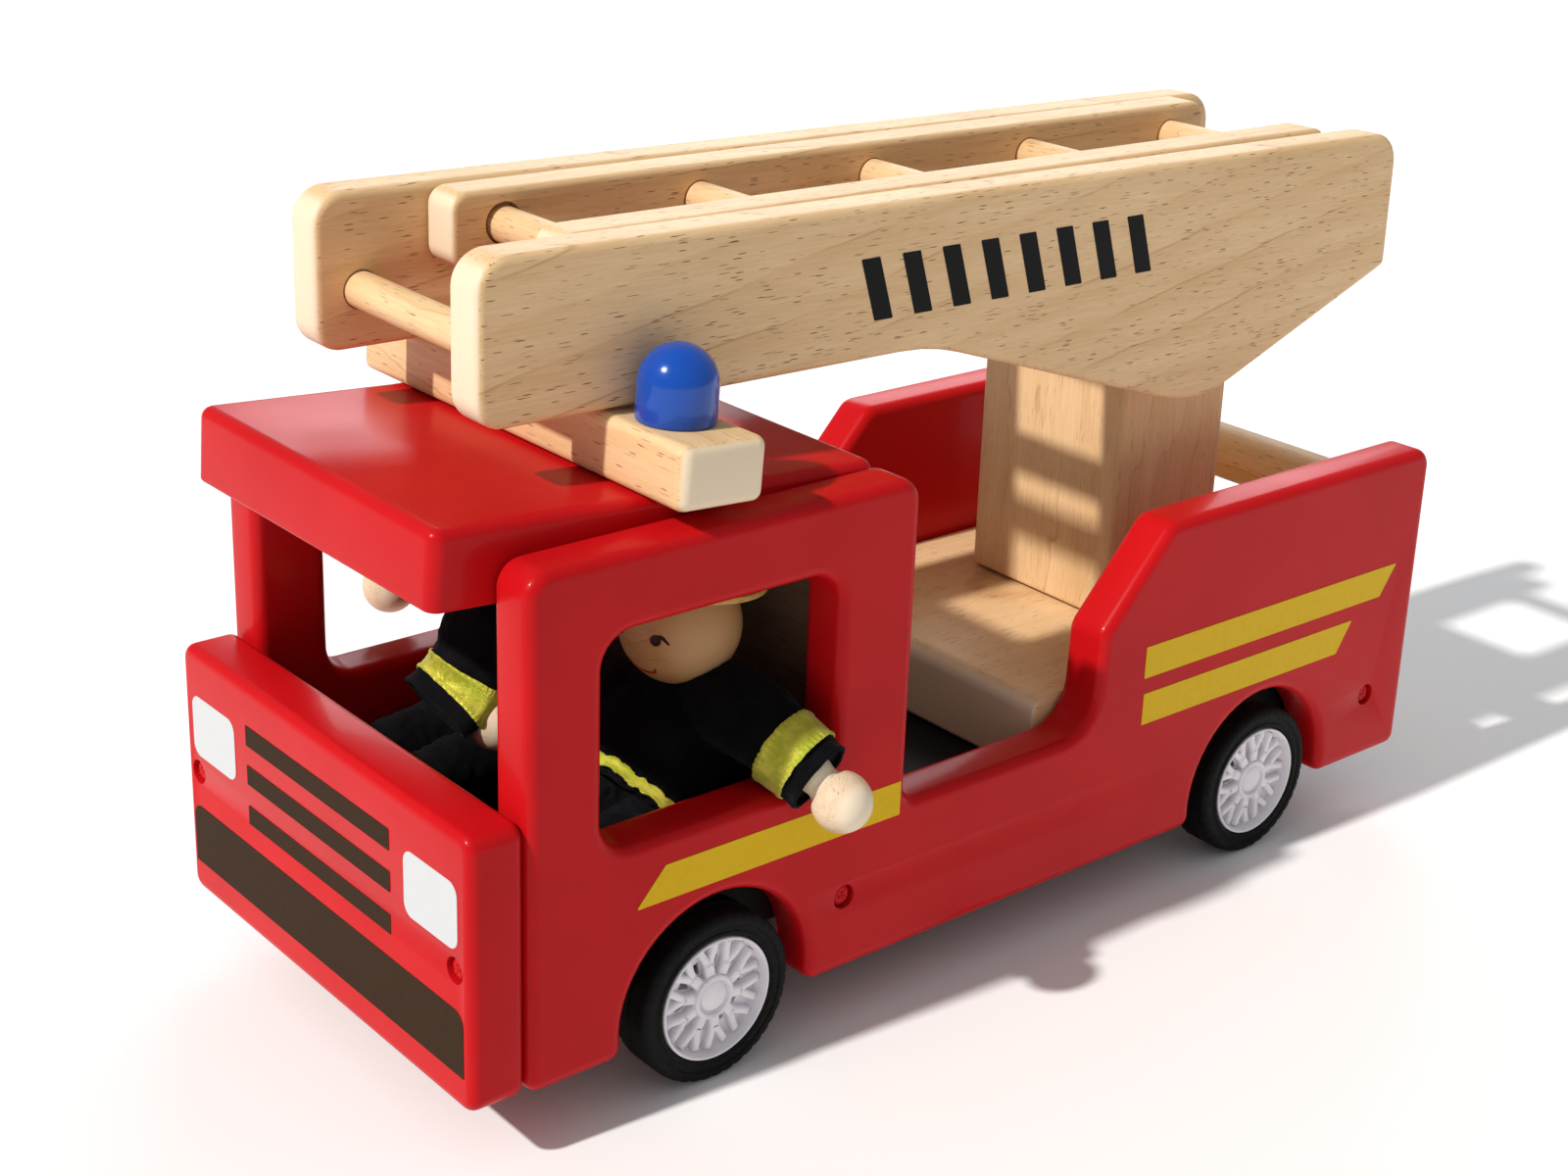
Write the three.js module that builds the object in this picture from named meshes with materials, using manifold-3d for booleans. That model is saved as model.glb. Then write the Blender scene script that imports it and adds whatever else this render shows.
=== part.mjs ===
// A toy fire engine in wood with an extending ladder on a turntable, and two cloth dolls in its cab.
// Millimetres, +X forward, +Y to the vehicle's left, +Z up. The origin is on the ground, at the
// middle of the toy. Inside the groups below, x is measured from the rear ends of the side panels
// and z from a level 1.6 mm above their lower edges.
import * as THREE from 'three';
import { mergeVertices } from 'three/addons/utils/BufferGeometryUtils.js';
import { RoundedBoxGeometry } from 'three/addons/geometries/RoundedBoxGeometry.js';
import Module from 'manifold-3d';

const wasm = await Module();
wasm.setup();

// Driving dimensions: body
const originX = 180;
const board = 15;
const bodyLength = 345;
const bodyHalfWidth = 73;
const innerHalfWidth = bodyHalfWidth - board;
const fitGap = 0.3;
const cabHeight = 136;
const cabRearX = 222.5;
const cabWallX = 226;
const lowerEdge = -1.6;
const sillHeight = 43;
const riseX = 149;
const riseTop = 73;
const shoulderX = 122;
const rearHeight = 101.4;
const panelEdge = 3.2;
const frontPanelThickness = 15.8;
const frontPanelTop = 73.6;
const floorBottom = 11;
const floorTop = floorBottom + board;
const deckFrontX = 159;
const deckTop = 50;
const windowSpan = { x0: 249, x1: 323, z0: 58, z1: 115.5, radius: 9 };

// Driving dimensions: wheels
const wheelRadius = 24;
const wheelWidth = 14.5;
const axleZ = 4.8;
const frontAxleX = 286;
const rearAxleX = 71.5;
const axleRadius = 2.5;
const runningGap = 0.08;
const archRadius = 30.4;
const rimRadius = 17.4;
const floorClearance = wheelRadius - axleZ;

// Driving dimensions: roof and warning light
const roofRearX = 225;
const roofTilt = 3.7 * Math.PI / 180;
const roofThickness = 20.3;
const roofLength = 135.3;
const roofHalfWidth = 57.5;
const barWidth = 26.5;
const barThickness = 16.5;
const barStart = 50.7;
const beaconRadius = 10.2;
const beaconHeight = 19.6;
const beaconY = 52.4;

// Driving dimensions: rear crossbar, turntable and ladder
const crossbarRadius = 9;
const crossbarX = 14;
const crossbarZ = 83;
const pivotX = 76;
const pivotZ = 142;
const turntableYaw = -1.2 * Math.PI / 180;
const ladderPitch = 0.3 * Math.PI / 180;
const pedestal = { length: 46, width: 62, bottom: 51, top: 160 };
const postRadius = 6;
const dowelRadius = 5;
const ladderHalfWidth = 45.5;
const beamThickness = 13;
const beamBottom = 15.6;
const beamInner = ladderHalfWidth - beamThickness;
const railThickness = 13;
const railOuter = beamInner - 0.6;
const railBottom = 36.9;
const railTop = 57.2;
const railRear = -57.5;
const railFront = 227.5;
const rungPitch = 63;
const rungCount = 5;
const firstRungU = 211;
const rungW = 47.2;
const outerRungW = 31.5;
const outerRungs = { front: 246.5, middle: 108, rear: -58 };
const extendTravel = 150;
const socketDepth = 8;
const socketGap = 0.2;

// Driving dimensions: dolls
const headRadius = 16.5;
const handRadius = 8.1;
const brimRadius = 22;

const materials = {
  redPaint: new THREE.MeshStandardMaterial({ color: 0xb81c1c, roughness: 0.3, metalness: 0 }),
  wood: new THREE.MeshStandardMaterial({ color: 0xcfae84, roughness: 0.6, metalness: 0 }),
  blackPaint: new THREE.MeshStandardMaterial({ color: 0x101010, roughness: 0.6, metalness: 0 }),
  bluePaint: new THREE.MeshStandardMaterial({ color: 0x123f9e, roughness: 0.15, metalness: 0 }),
  steel: new THREE.MeshStandardMaterial({ color: 0xb4b6b8, roughness: 0.35, metalness: 1 }),
  rubber: new THREE.MeshStandardMaterial({ color: 0x141414, roughness: 0.8, metalness: 0 }),
  whitePlastic: new THREE.MeshStandardMaterial({ color: 0xe9e9ec, roughness: 0.35, metalness: 0 }),
  fibre: new THREE.MeshStandardMaterial({ color: 0x6a4a30, roughness: 0.9, metalness: 0 }),
  cloth: new THREE.MeshStandardMaterial({ color: 0x0b0b0e, roughness: 0.95, metalness: 0 }),
  hatPaint: new THREE.MeshStandardMaterial({ color: 0xd8b868, roughness: 0.5, metalness: 0 }),
};

// ---- Outlines -------------------------------------------------------------------------------

const arcStep = Math.PI / 8;

function arcPoints(x, y, radius, start, end) {
  const count = Math.max(2, Math.ceil(Math.abs(end - start) / arcStep));
  const points = [];
  for (let i = 0; i <= count; i += 1) {
    const angle = start + (end - start) * i / count;
    points.push(new THREE.Vector2(x + radius * Math.cos(angle), y + radius * Math.sin(angle)));
  }
  return points;
}

// The arc of the given radius that rounds the corner at point between its two neighbours.
function cornerPoints(before, point, after, radius) {
  const u = before.clone().sub(point).normalize();
  const v = after.clone().sub(point).normalize();
  const half = Math.acos(u.dot(v)) / 2;
  const centre = u.clone().add(v).normalize().multiplyScalar(radius / Math.sin(half)).add(point);
  const reach = radius / Math.tan(half);
  const first = u.multiplyScalar(reach).add(point).sub(centre);
  const last = v.multiplyScalar(reach).add(point).sub(centre);
  const start = first.angle();
  const turn = last.angle() - start;
  const shortTurn = turn - 2 * Math.PI * Math.round(turn / (2 * Math.PI));
  return arcPoints(centre.x, centre.y, radius, start, start + shortTurn);
}

// The last (-1) or first (0) point of an outline item.
function endPoint(item, which) {
  return item[0] instanceof THREE.Vector2 ? item.at(which) : new THREE.Vector2(item[0], item[1]);
}

// An outline from corners [x, y, radius] and ready-made arcs (lists of points).
function outline(items) {
  const points = [];
  items.forEach((item, i) => {
    if (item[0] instanceof THREE.Vector2) {
      points.push(...item);
      return;
    }
    const previous = items.at(i - 1);
    const next = items[(i + 1) % items.length];
    const before = endPoint(previous, -1);
    const after = endPoint(next, 0);
    points.push(...cornerPoints(before, new THREE.Vector2(item[0], item[1]), after, item[2]));
  });
  return points;
}

// ---- Solids ---------------------------------------------------------------------------------

function toManifold(geometry) {
  const bare = geometry.index ? geometry.toNonIndexed() : geometry.clone();
  bare.deleteAttribute('normal');
  bare.deleteAttribute('uv');
  const merged = mergeVertices(bare, 1e-4);
  const vertProperties = new Float32Array(merged.attributes.position.array);
  const triVerts = new Uint32Array(merged.index.array);
  return new wasm.Manifold(new wasm.Mesh({ numProp: 3, vertProperties, triVerts }));
}

function toGeometry(manifold) {
  const { vertProperties, triVerts } = manifold.getMesh();
  const geometry = new THREE.BufferGeometry();
  geometry.setAttribute('position', new THREE.BufferAttribute(vertProperties, 3));
  geometry.setIndex(new THREE.BufferAttribute(triVerts, 1));
  geometry.computeVertexNormals();
  return geometry;
}

function cut(geometry, tools) {
  return toGeometry(tools.reduce((left, tool) => left.subtract(toManifold(tool)), toManifold(geometry)));
}

function join(geometries) {
  const [first, ...rest] = geometries.map(toManifold);
  return toGeometry(rest.reduce((sum, next) => sum.add(next), first));
}

// A box given by its lowest and highest corners, with its edges rounded.
function block(low, high, edge = 1) {
  const size = high.map((value, i) => value - low[i]);
  const geometry = new RoundedBoxGeometry(...size, edge > 3 ? 2 : 1, edge);
  return geometry.translate(...low.map((value, i) => value + size[i] / 2));
}

// A round bar between two points.
function bar(from, to, radius, segments = 16) {
  const start = new THREE.Vector3(...from);
  const along = new THREE.Vector3(...to).sub(start);
  const geometry = new THREE.CylinderGeometry(radius, radius, along.length(), segments);
  const up = new THREE.Vector3(0, 1, 0);
  geometry.applyQuaternion(new THREE.Quaternion().setFromUnitVectors(up, along.clone().normalize()));
  return geometry.translate(...start.addScaledVector(along, 0.5).toArray());
}

// A dowel along Y that reaches equally far to both sides.
function crossDowel(x, z, halfLength, radius, segments = 16) {
  return bar([x, -halfLength, z], [x, halfLength, z], radius, segments);
}

// A board standing along X, cut to an outline of x and z, between y and y - thickness.
function uprightBoard(points, y, thickness, edge, holes = []) {
  const shape = new THREE.Shape(points);
  shape.holes = holes.map((hole) => new THREE.Path(hole));
  const geometry = new THREE.ExtrudeGeometry(shape, {
    depth: thickness - 2 * edge,
    bevelEnabled: edge > 0,
    bevelThickness: edge,
    bevelSize: edge,
    bevelOffset: -edge,
    bevelSegments: 1,
  });
  return geometry.translate(0, 0, edge).rotateX(Math.PI / 2).translate(0, y, 0);
}

function turned(profile, segments = 24) {
  return new THREE.LatheGeometry(profile.map(([r, y]) => new THREE.Vector2(r, y)), segments);
}

function sphere(x, y, z, radius) {
  return new THREE.SphereGeometry(radius, 12, 7).rotateX(Math.PI / 2).translate(x, y, z);
}

function place(parent, name, geometry, material) {
  const mesh = new THREE.Mesh(geometry, material);
  mesh.name = name;
  parent.add(mesh);
  return mesh;
}

const sides = [
  { name: 'left', sign: 1 },
  { name: 'right', sign: -1 },
];

// ---- Body -----------------------------------------------------------------------------------

const screwHead = { radius: 3.1, holeRadius: 3.5, recess: 2.6, height: 1.6 };
const screwShank = { radius: 1.6, holeRadius: 1.95, length: 26 };
const sideScrews = { front: [243.7, 21], rear: [19.8, 21] };
const frontScrew = { y: 65.4, z: 36.5 };

function wheelArch(axleX) {
  const dip = Math.asin((axleZ - lowerEdge) / archRadius);
  return arcPoints(axleX, axleZ, archRadius, Math.PI + dip, -dip);
}

function windowOutline() {
  const { x0, x1, z0, z1, radius } = windowSpan;
  return outline([[x0, z0, radius], [x0, z1, radius], [x1, z1, radius], [x1, z0, radius]]);
}

function sidePanelOutline() {
  return outline([
    [0, lowerEdge, 4],
    wheelArch(rearAxleX),
    wheelArch(frontAxleX),
    [bodyLength, lowerEdge, 4],
    [bodyLength, cabHeight, 7],
    [cabRearX, cabHeight, 7],
    [cabRearX, sillHeight, 4],
    [riseX, sillHeight, 13],
    [riseX - 1, riseTop, 6],
    [shoulderX, rearHeight, 6],
    [0, rearHeight, 6],
  ]);
}

// A recess for a screw head at one surface point, and the narrower hole behind it.
function screwHole(surface, inward) {
  const at = (depth) => surface.map((value, i) => value + inward[i] * depth);
  return [
    bar(at(-1), at(screwHead.recess), screwHead.holeRadius),
    bar(at(0), at(screwShank.length + 1), screwShank.holeRadius, 8),
  ];
}

function screw(surface, inward) {
  const at = (depth) => surface.map((value, i) => value + inward[i] * depth);
  const headBottom = screwHead.recess - 0.3;
  return join([
    bar(at(headBottom - screwHead.height), at(headBottom), screwHead.radius),
    bar(at(headBottom - 0.5), at(screwShank.length), screwShank.radius, 8),
  ]);
}

function sideScrewPlaces(sign) {
  return Object.entries(sideScrews).map(([name, [x, z]]) => (
    { name, surface: [x, sign * bodyHalfWidth, z], inward: [0, -sign, 0] }
  ));
}

function frontScrewPlace(sign) {
  const face = bodyLength + fitGap + frontPanelThickness;
  return { surface: [face, sign * frontScrew.y, frontScrew.z], inward: [-1, 0, 0] };
}

function addSidePanels(parent) {
  for (const { name, sign } of sides) {
    const y = sign > 0 ? bodyHalfWidth : -innerHalfWidth;
    const panel = uprightBoard(sidePanelOutline(), y, board, panelEdge, [windowOutline()]);
    const inner = sign * (innerHalfWidth - 1);
    const holes = sideScrewPlaces(sign).flatMap((item) => screwHole(item.surface, item.inward));
    const front = frontScrewPlace(sign);
    holes.push(...screwHole(front.surface, front.inward));
    const socketEnd = sign * (innerHalfWidth + socketDepth + socketGap);
    const socketRadius = crossbarRadius + socketGap;
    holes.push(bar([crossbarX, inner, crossbarZ], [crossbarX, socketEnd, crossbarZ], socketRadius, 24));
    place(parent, `${name}_side_panel`, cut(panel, holes), materials.redPaint);
  }
}

function addFrontPanel(parent) {
  const x0 = bodyLength + fitGap;
  const halfWidth = bodyHalfWidth - 0.6;
  const low = [x0, -halfWidth, lowerEdge];
  const high = [x0 + frontPanelThickness, halfWidth, frontPanelTop];
  const holes = sides.flatMap(({ sign }) => {
    const item = frontScrewPlace(sign);
    return screwHole(item.surface, item.inward);
  });
  place(parent, 'front_panel', cut(block(low, high, 3.6), holes), materials.redPaint);
}

function addScrews(parent) {
  for (const { name, sign } of sides) {
    for (const item of sideScrewPlaces(sign)) {
      place(parent, `${name}_${item.name}_screw`, screw(item.surface, item.inward), materials.steel);
    }
    const front = frontScrewPlace(sign);
    place(parent, `${name}_bumper_screw`, screw(front.surface, front.inward), materials.steel);
  }
}

const postBore = postRadius + runningGap;
const retainerRecess = { radius: 12, top: 14.4 };

function addFloorAndDeck(parent) {
  const half = innerHalfWidth - fitGap;
  const sideHoles = sides.flatMap(({ sign }) => (
    sideScrewPlaces(sign).flatMap((item) => screwHole(item.surface, item.inward))
  ));
  const below = [pivotX, 0, floorBottom - 1];
  const postHole = bar(below, [pivotX, 0, deckTop + 1], postBore, 32);
  const recess = bar(below, [pivotX, 0, retainerRecess.top], retainerRecess.radius, 24);
  const floorBox = block([1, -half, floorBottom], [bodyLength - 0.5, half, floorTop], 0.8);
  place(parent, 'floor_board', cut(floorBox, [postHole, recess, ...sideHoles]), materials.blackPaint);

  const rear = 3;
  const bottom = floorTop + fitGap;
  const deckOutline = outline([
    [rear, bottom, 1], [deckFrontX, bottom, 1], [deckFrontX, deckTop, 5], [rear, deckTop, 3],
  ]);
  const deck = uprightBoard(deckOutline, half, 2 * half, 0);
  place(parent, 'deck_block', cut(deck, [postHole]), materials.wood);
}

function addCabRearWall(parent) {
  const half = innerHalfWidth - fitGap;
  const x0 = cabWallX;
  const top = cabHeight - roofThickness - 0.6;
  const wall = block([x0, -half, floorTop + fitGap], [x0 + board, half, top], 1);
  place(parent, 'cab_rear_wall', wall, materials.wood);
}

function addRearCrossbar(parent) {
  const crossbar = crossDowel(crossbarX, crossbarZ, innerHalfWidth + socketDepth, crossbarRadius, 24);
  place(parent, 'rear_crossbar', crossbar, materials.wood);
}

// ---- Roof and warning light -----------------------------------------------------------------

function addRoof(parent) {
  const roof = new THREE.Group();
  roof.position.set(roofRearX, 0, cabHeight + 0.5);
  roof.rotation.y = -roofTilt;
  parent.add(roof);
  const boardLow = [0, -roofHalfWidth, -roofThickness];
  place(roof, 'roof', block(boardLow, [roofLength, roofHalfWidth, 0], 3.6), materials.redPaint);

  const barTop = fitGap + barThickness;
  const barLow = [barStart, -bodyHalfWidth, fitGap];
  const barHigh = [barStart + barWidth, bodyHalfWidth, barTop];
  const middle = barStart + barWidth / 2;
  const pegDepth = 9;
  const pegHole = bar([middle, beaconY, barTop - pegDepth - socketGap], [middle, beaconY, barTop + 1], 4.2);
  place(roof, 'light_bar', cut(block(barLow, barHigh, 2.6), [pegHole]), materials.wood);

  const base = barTop + socketGap;
  const straight = beaconHeight - beaconRadius;
  const dome = arcPoints(0, straight, beaconRadius, 0, Math.PI / 2).map((point) => [point.x, point.y]);
  dome[dome.length - 1][0] = 0;
  const peg = [[0, -pegDepth], [4, -pegDepth], [4, 0]];
  const beacon = turned([...peg, [beaconRadius, 0], ...dome], 24);
  beacon.rotateX(Math.PI / 2).translate(middle, beaconY, base);
  place(roof, 'beacon', beacon, materials.bluePaint);
}

// ---- Wheels ---------------------------------------------------------------------------------

// Profiles run from the wheel's inner face, at 0, to its outer face, as pairs of radius and y.
function rimProfile() {
  const bore = axleRadius + socketGap;
  return [
    [0, 9], [bore, 9], [bore, 0.3], [6, 0.3], [6, 6.5], [15.2, 6.5], [15.2, 0.5], [rimRadius, 0.5],
    [rimRadius, 14], [16.4, 14], [15, 9.8], [6.4, 9.8], [6, 12.6], [0, 13.2],
  ];
}

function tyreProfile() {
  const inner = rimRadius + socketGap;
  return [
    [inner, 0.4], [22.8, 0.4], [wheelRadius, 1.8], [wheelRadius, wheelWidth - 1.8],
    [22.8, wheelWidth - 0.4], [inner, wheelWidth - 0.4], [inner, 0.4],
  ];
}

function addAxleSet(parent, name, axleX) {
  const wheelInner = bodyHalfWidth - wheelWidth;
  const axle = crossDowel(axleX, axleZ, wheelInner + 8.6, axleRadius, 24);
  place(parent, `${name}_axle`, axle, materials.steel);
  for (const side of sides) {
    const turn = side.sign > 0 ? 0 : Math.PI;
    const at = [axleX, side.sign * wheelInner, axleZ];
    const rim = turned(rimProfile(), 20).rotateX(turn).translate(...at);
    const tyre = turned(tyreProfile(), 28).rotateX(turn).translate(...at);
    place(parent, `${name}_${side.name}_rim`, rim, materials.whitePlastic);
    place(parent, `${name}_${side.name}_tyre`, tyre, materials.rubber);
  }
}

function addAxleBlock(parent, name, axleX) {
  const low = [axleX - 12, -48, 0.4];
  const high = [axleX + 12, 48, floorBottom - fitGap];
  const bore = crossDowel(axleX, axleZ, 60, axleRadius + runningGap, 24);
  place(parent, `${name}_axle_block`, cut(block(low, high, 0.8), [bore]), materials.wood);
}

// ---- Turntable ------------------------------------------------------------------------------

function addTurntable(parent) {
  const group = new THREE.Group();
  group.position.set(pivotX, 0, 0);
  group.rotation.z = turntableYaw;
  parent.add(group);

  const halfLength = pedestal.length / 2;
  const halfWidth = pedestal.width / 2;
  const low = [-halfLength, -halfWidth, pedestal.bottom];
  const high = [halfLength, halfWidth, pedestal.top];
  const postTop = pedestal.bottom + 24;
  const socket = bar([0, 0, pedestal.bottom - 1], [0, 0, postTop + socketGap], postRadius + socketGap);
  const pivotBore = crossDowel(0, pivotZ, halfWidth + 1, dowelRadius + runningGap, 32);
  place(group, 'pedestal', cut(block(low, high, 1.6), [socket, pivotBore]), materials.wood);

  const postBottom = retainerRecess.top - 0.2;
  const pilot = bar([0, 0, postBottom - 1], [0, 0, postBottom + 18], screwShank.holeRadius, 8);
  const post = cut(bar([0, 0, postBottom], [0, 0, postTop], postRadius, 32), [pilot]);
  place(group, 'turntable_post', post, materials.wood);

  const pad = [[postBore + 0.2, deckTop + 0.15], [18, deckTop + 0.15], [18, pedestal.bottom - 0.2]];
  const padProfile = [...pad, [postBore + 0.2, pedestal.bottom - 0.2], pad[0]];
  place(group, 'turntable_washer', turned(padProfile).rotateX(Math.PI / 2), materials.fibre);

  const washerTop = postBottom - 0.2;
  const washerBottom = washerTop - 1.1;
  const hole = 2.2;
  const washer = [
    [hole, washerBottom], [11, washerBottom], [11, washerTop], [hole, washerTop], [hole, washerBottom],
  ];
  place(group, 'retaining_washer', turned(washer).rotateX(Math.PI / 2), materials.steel);

  const headTop = washerBottom - 0.2;
  const retainer = join([
    bar([0, 0, headTop - 1.3], [0, 0, headTop], 4),
    bar([0, 0, headTop - 0.5], [0, 0, postBottom + 16], screwShank.radius, 8),
  ]);
  place(group, 'retaining_screw', retainer, materials.steel);
  return group;
}

// ---- Ladder ---------------------------------------------------------------------------------

// In the ladder's own group, u runs forward from the pivot and w up from it.
function beamOutline() {
  return outline([
    [-76, 14, 3],
    [6.9, -19.2, 42],
    [116, beamBottom, 70],
    [260, beamBottom, 8],
    [260, 58, 9],
    [-75.2, 56.4, 10],
  ]);
}

function railOutline() {
  return outline([
    [railRear, railBottom, 5], [railFront, railBottom, 5],
    [railFront, railTop, 5], [railRear, railTop, 6],
  ]);
}

function rungU(i) {
  return firstRungU - i * rungPitch;
}

// The slot in which the ends of the rearmost inner rung slide as the ladder extends.
function guideSlot(sign) {
  const depth = 5;
  const reach = dowelRadius + 0.3;
  const rear = rungU(rungCount - 1) - reach;
  const front = rear + extendTravel + 2 * reach;
  const slot = outline([
    [rear, rungW - reach, reach * 0.99], [front, rungW - reach, reach * 0.99],
    [front, rungW + reach, reach * 0.99], [rear, rungW + reach, reach * 0.99],
  ]);
  const y = sign > 0 ? beamInner + depth : -beamInner + 1;
  return uprightBoard(slot, y, depth + 1, 0);
}

function addOuterLadder(ladder) {
  const dowels = [[0, 0], ...Object.values(outerRungs).map((u) => [u, outerRungW])];
  const reach = beamInner + socketDepth;
  for (const { name, sign } of sides) {
    const y = sign > 0 ? ladderHalfWidth : -beamInner;
    const sockets = dowels.map(([u, w]) => bar(
      [u, sign * (beamInner - 1), w], [u, sign * (reach + socketGap), w], dowelRadius + socketGap,
    ));
    const beam = cut(uprightBoard(beamOutline(), y, beamThickness, 2), [...sockets, guideSlot(sign)]);
    place(ladder, `${name}_ladder_beam`, beam, materials.wood);
  }
  place(ladder, 'ladder_pivot_dowel', crossDowel(0, 0, reach, dowelRadius, 32), materials.wood);
  for (const [name, u] of Object.entries(outerRungs)) {
    place(ladder, `outer_rung_${name}`, crossDowel(u, outerRungW, reach, dowelRadius), materials.wood);
  }
}

function addInnerLadder(ladder) {
  const railInner = railOuter - railThickness;
  const reach = railInner + socketDepth;
  for (const { name, sign } of sides) {
    const y = sign > 0 ? railOuter : -railInner;
    const sockets = [];
    for (let i = 0; i < rungCount; i += 1) {
      const last = i === rungCount - 1;
      const end = last ? railOuter + 1 : reach + socketGap;
      const from = [rungU(i), sign * (railInner - 1), rungW];
      sockets.push(bar(from, [rungU(i), sign * end, rungW], dowelRadius + socketGap));
    }
    // The foremost hole is drilled oversize towards the front and the top.
    const loose = [rungU(0) + 0.5, sign * (railInner - 1), rungW + 0.6];
    sockets.push(bar(loose, [loose[0], sign * (railInner + 3), loose[2]], dowelRadius + 0.7));
    const rail = cut(uprightBoard(railOutline(), y, railThickness, 1.6), sockets);
    place(ladder, `${name}_inner_rail`, rail, materials.wood);
  }
  for (let i = 0; i < rungCount; i += 1) {
    const halfLength = i === rungCount - 1 ? beamInner + 4.5 : reach;
    const rung = crossDowel(rungU(i), rungW, halfLength, dowelRadius);
    place(ladder, `inner_rung_${i + 1}`, rung, materials.wood);
  }
}

function addLadder(turntable) {
  const ladder = new THREE.Group();
  ladder.position.z = pivotZ;
  ladder.rotation.y = -ladderPitch;
  turntable.add(ladder);
  addOuterLadder(ladder);
  addInnerLadder(ladder);
}

// ---- Dolls ----------------------------------------------------------------------------------

const dolls = [
  {
    name: 'driver',
    head: [270, 33, 93.5],
    hips: [266, 33, 41],
    chest: [268, 33, 64.5],
    arms: {
      left: { sleeve: [[266, 42, 70], [260, 77.3, 66.8]], radius: 6.6, hand: [257, 85, 58.3] },
      right: { sleeve: [[268, 22, 68], [281, 9.5, 55]], radius: 6.6, hand: [289, 4.5, 47] },
    },
    feet: [[322, 44, 38], [322, 22, 38]],
  },
  {
    name: 'mate',
    head: [266, -31, 95],
    hips: [264, -33, 41],
    chest: [264, -32, 66],
    arms: {
      left: { sleeve: [[268, -22, 71], [310, -7, 86], [316, -5, 77]], radius: 6, hand: [308, 4, 64.1] },
      right: { sleeve: [[266, -41, 72], [285, -74, 76.5]], radius: 6.6, hand: [287.5, -85, 68.7] },
    },
    feet: [[320, -44, 38], [320, -22, 38]],
  },
];

function capsule(from, to, radius) {
  const start = new THREE.Vector3(...from);
  const along = new THREE.Vector3(...to).sub(start);
  const geometry = new THREE.CapsuleGeometry(radius, along.length(), 2, 8);
  const up = new THREE.Vector3(0, 1, 0);
  geometry.applyQuaternion(new THREE.Quaternion().setFromUnitVectors(up, along.clone().normalize()));
  return geometry.translate(...start.addScaledVector(along, 0.5).toArray());
}

// A suit is one closed form: trunk, arms and legs, cut back round the head.
function suit(doll) {
  const [hx, hy, hz] = doll.hips;
  const [cx, cy, cz] = doll.chest;
  const trunk = capsule([hx + 2, hy, hz + 4], [cx, cy, cz - 4], 15);
  const limbs = Object.values(doll.arms);
  const arms = limbs.flatMap(({ sleeve, radius }) => (
    sleeve.slice(1).map((to, i) => bar(sleeve[i], to, radius, 10))
  ));
  const elbows = limbs.flatMap(({ sleeve, radius }) => (
    sleeve.slice(1, -1).map((point) => sphere(...point, radius + 0.4))
  ));
  const shoulders = limbs.map(({ sleeve: [from], radius }) => sphere(...from, radius + 1));
  const legs = doll.feet.map(([x, y, z]) => capsule([hx + 4, hy + (y - hy) * 0.6, z], [x - 8, y, z], 10));
  return join([trunk, ...arms, ...elbows, ...shoulders, ...legs]);
}

function hat(doll) {
  const rest = headRadius * 0.72;
  const profile = [
    [0, rest], [brimRadius, rest], [brimRadius, rest + 2.2], [15, rest + 2.8],
    [13.6, rest + 7], [8, rest + 10.6], [0, rest + 11.6],
  ];
  const shell = turned(profile, 20).rotateX(Math.PI / 2).rotateY(-0.12).translate(...doll.head);
  return cut(shell, [sphere(...doll.head, headRadius + 0.3)]);
}

function addDolls(parent) {
  for (const doll of dolls) {
    place(parent, `${doll.name}_head`, sphere(...doll.head, headRadius), materials.wood);
    place(parent, `${doll.name}_hat`, hat(doll), materials.hatPaint);
    place(parent, `${doll.name}_suit`, suit(doll), materials.cloth);
    for (const [side, arm] of Object.entries(doll.arms)) {
      place(parent, `${doll.name}_${side}_hand`, sphere(...arm.hand, handRadius), materials.wood);
    }
  }
}

// ---- Assembly -------------------------------------------------------------------------------

const fireEngine = new THREE.Group();
fireEngine.position.set(-originX, 0, floorClearance);

addSidePanels(fireEngine);
addFrontPanel(fireEngine);
addScrews(fireEngine);
addFloorAndDeck(fireEngine);
addCabRearWall(fireEngine);
addRearCrossbar(fireEngine);
addRoof(fireEngine);
for (const [name, axleX] of [['front', frontAxleX], ['rear', rearAxleX]]) {
  addAxleSet(fireEngine, name, axleX);
  addAxleBlock(fireEngine, name, axleX);
}
addLadder(addTurntable(fireEngine));
addDolls(fireEngine);

export default fireEngine;
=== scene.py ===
"""Fine surfaces, materials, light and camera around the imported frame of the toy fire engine.

Lengths inside the groups are millimetres, measured like the frame's own groups: x from the rear
ends of the side panels, z from 1.6 mm above their lower edges. The matrices below turn them into
the frame.
"""

import math

import bmesh
import bpy
from mathutils import Matrix, Vector, geometry, noise
from mathutils.bvhtree import BVHTree


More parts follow.
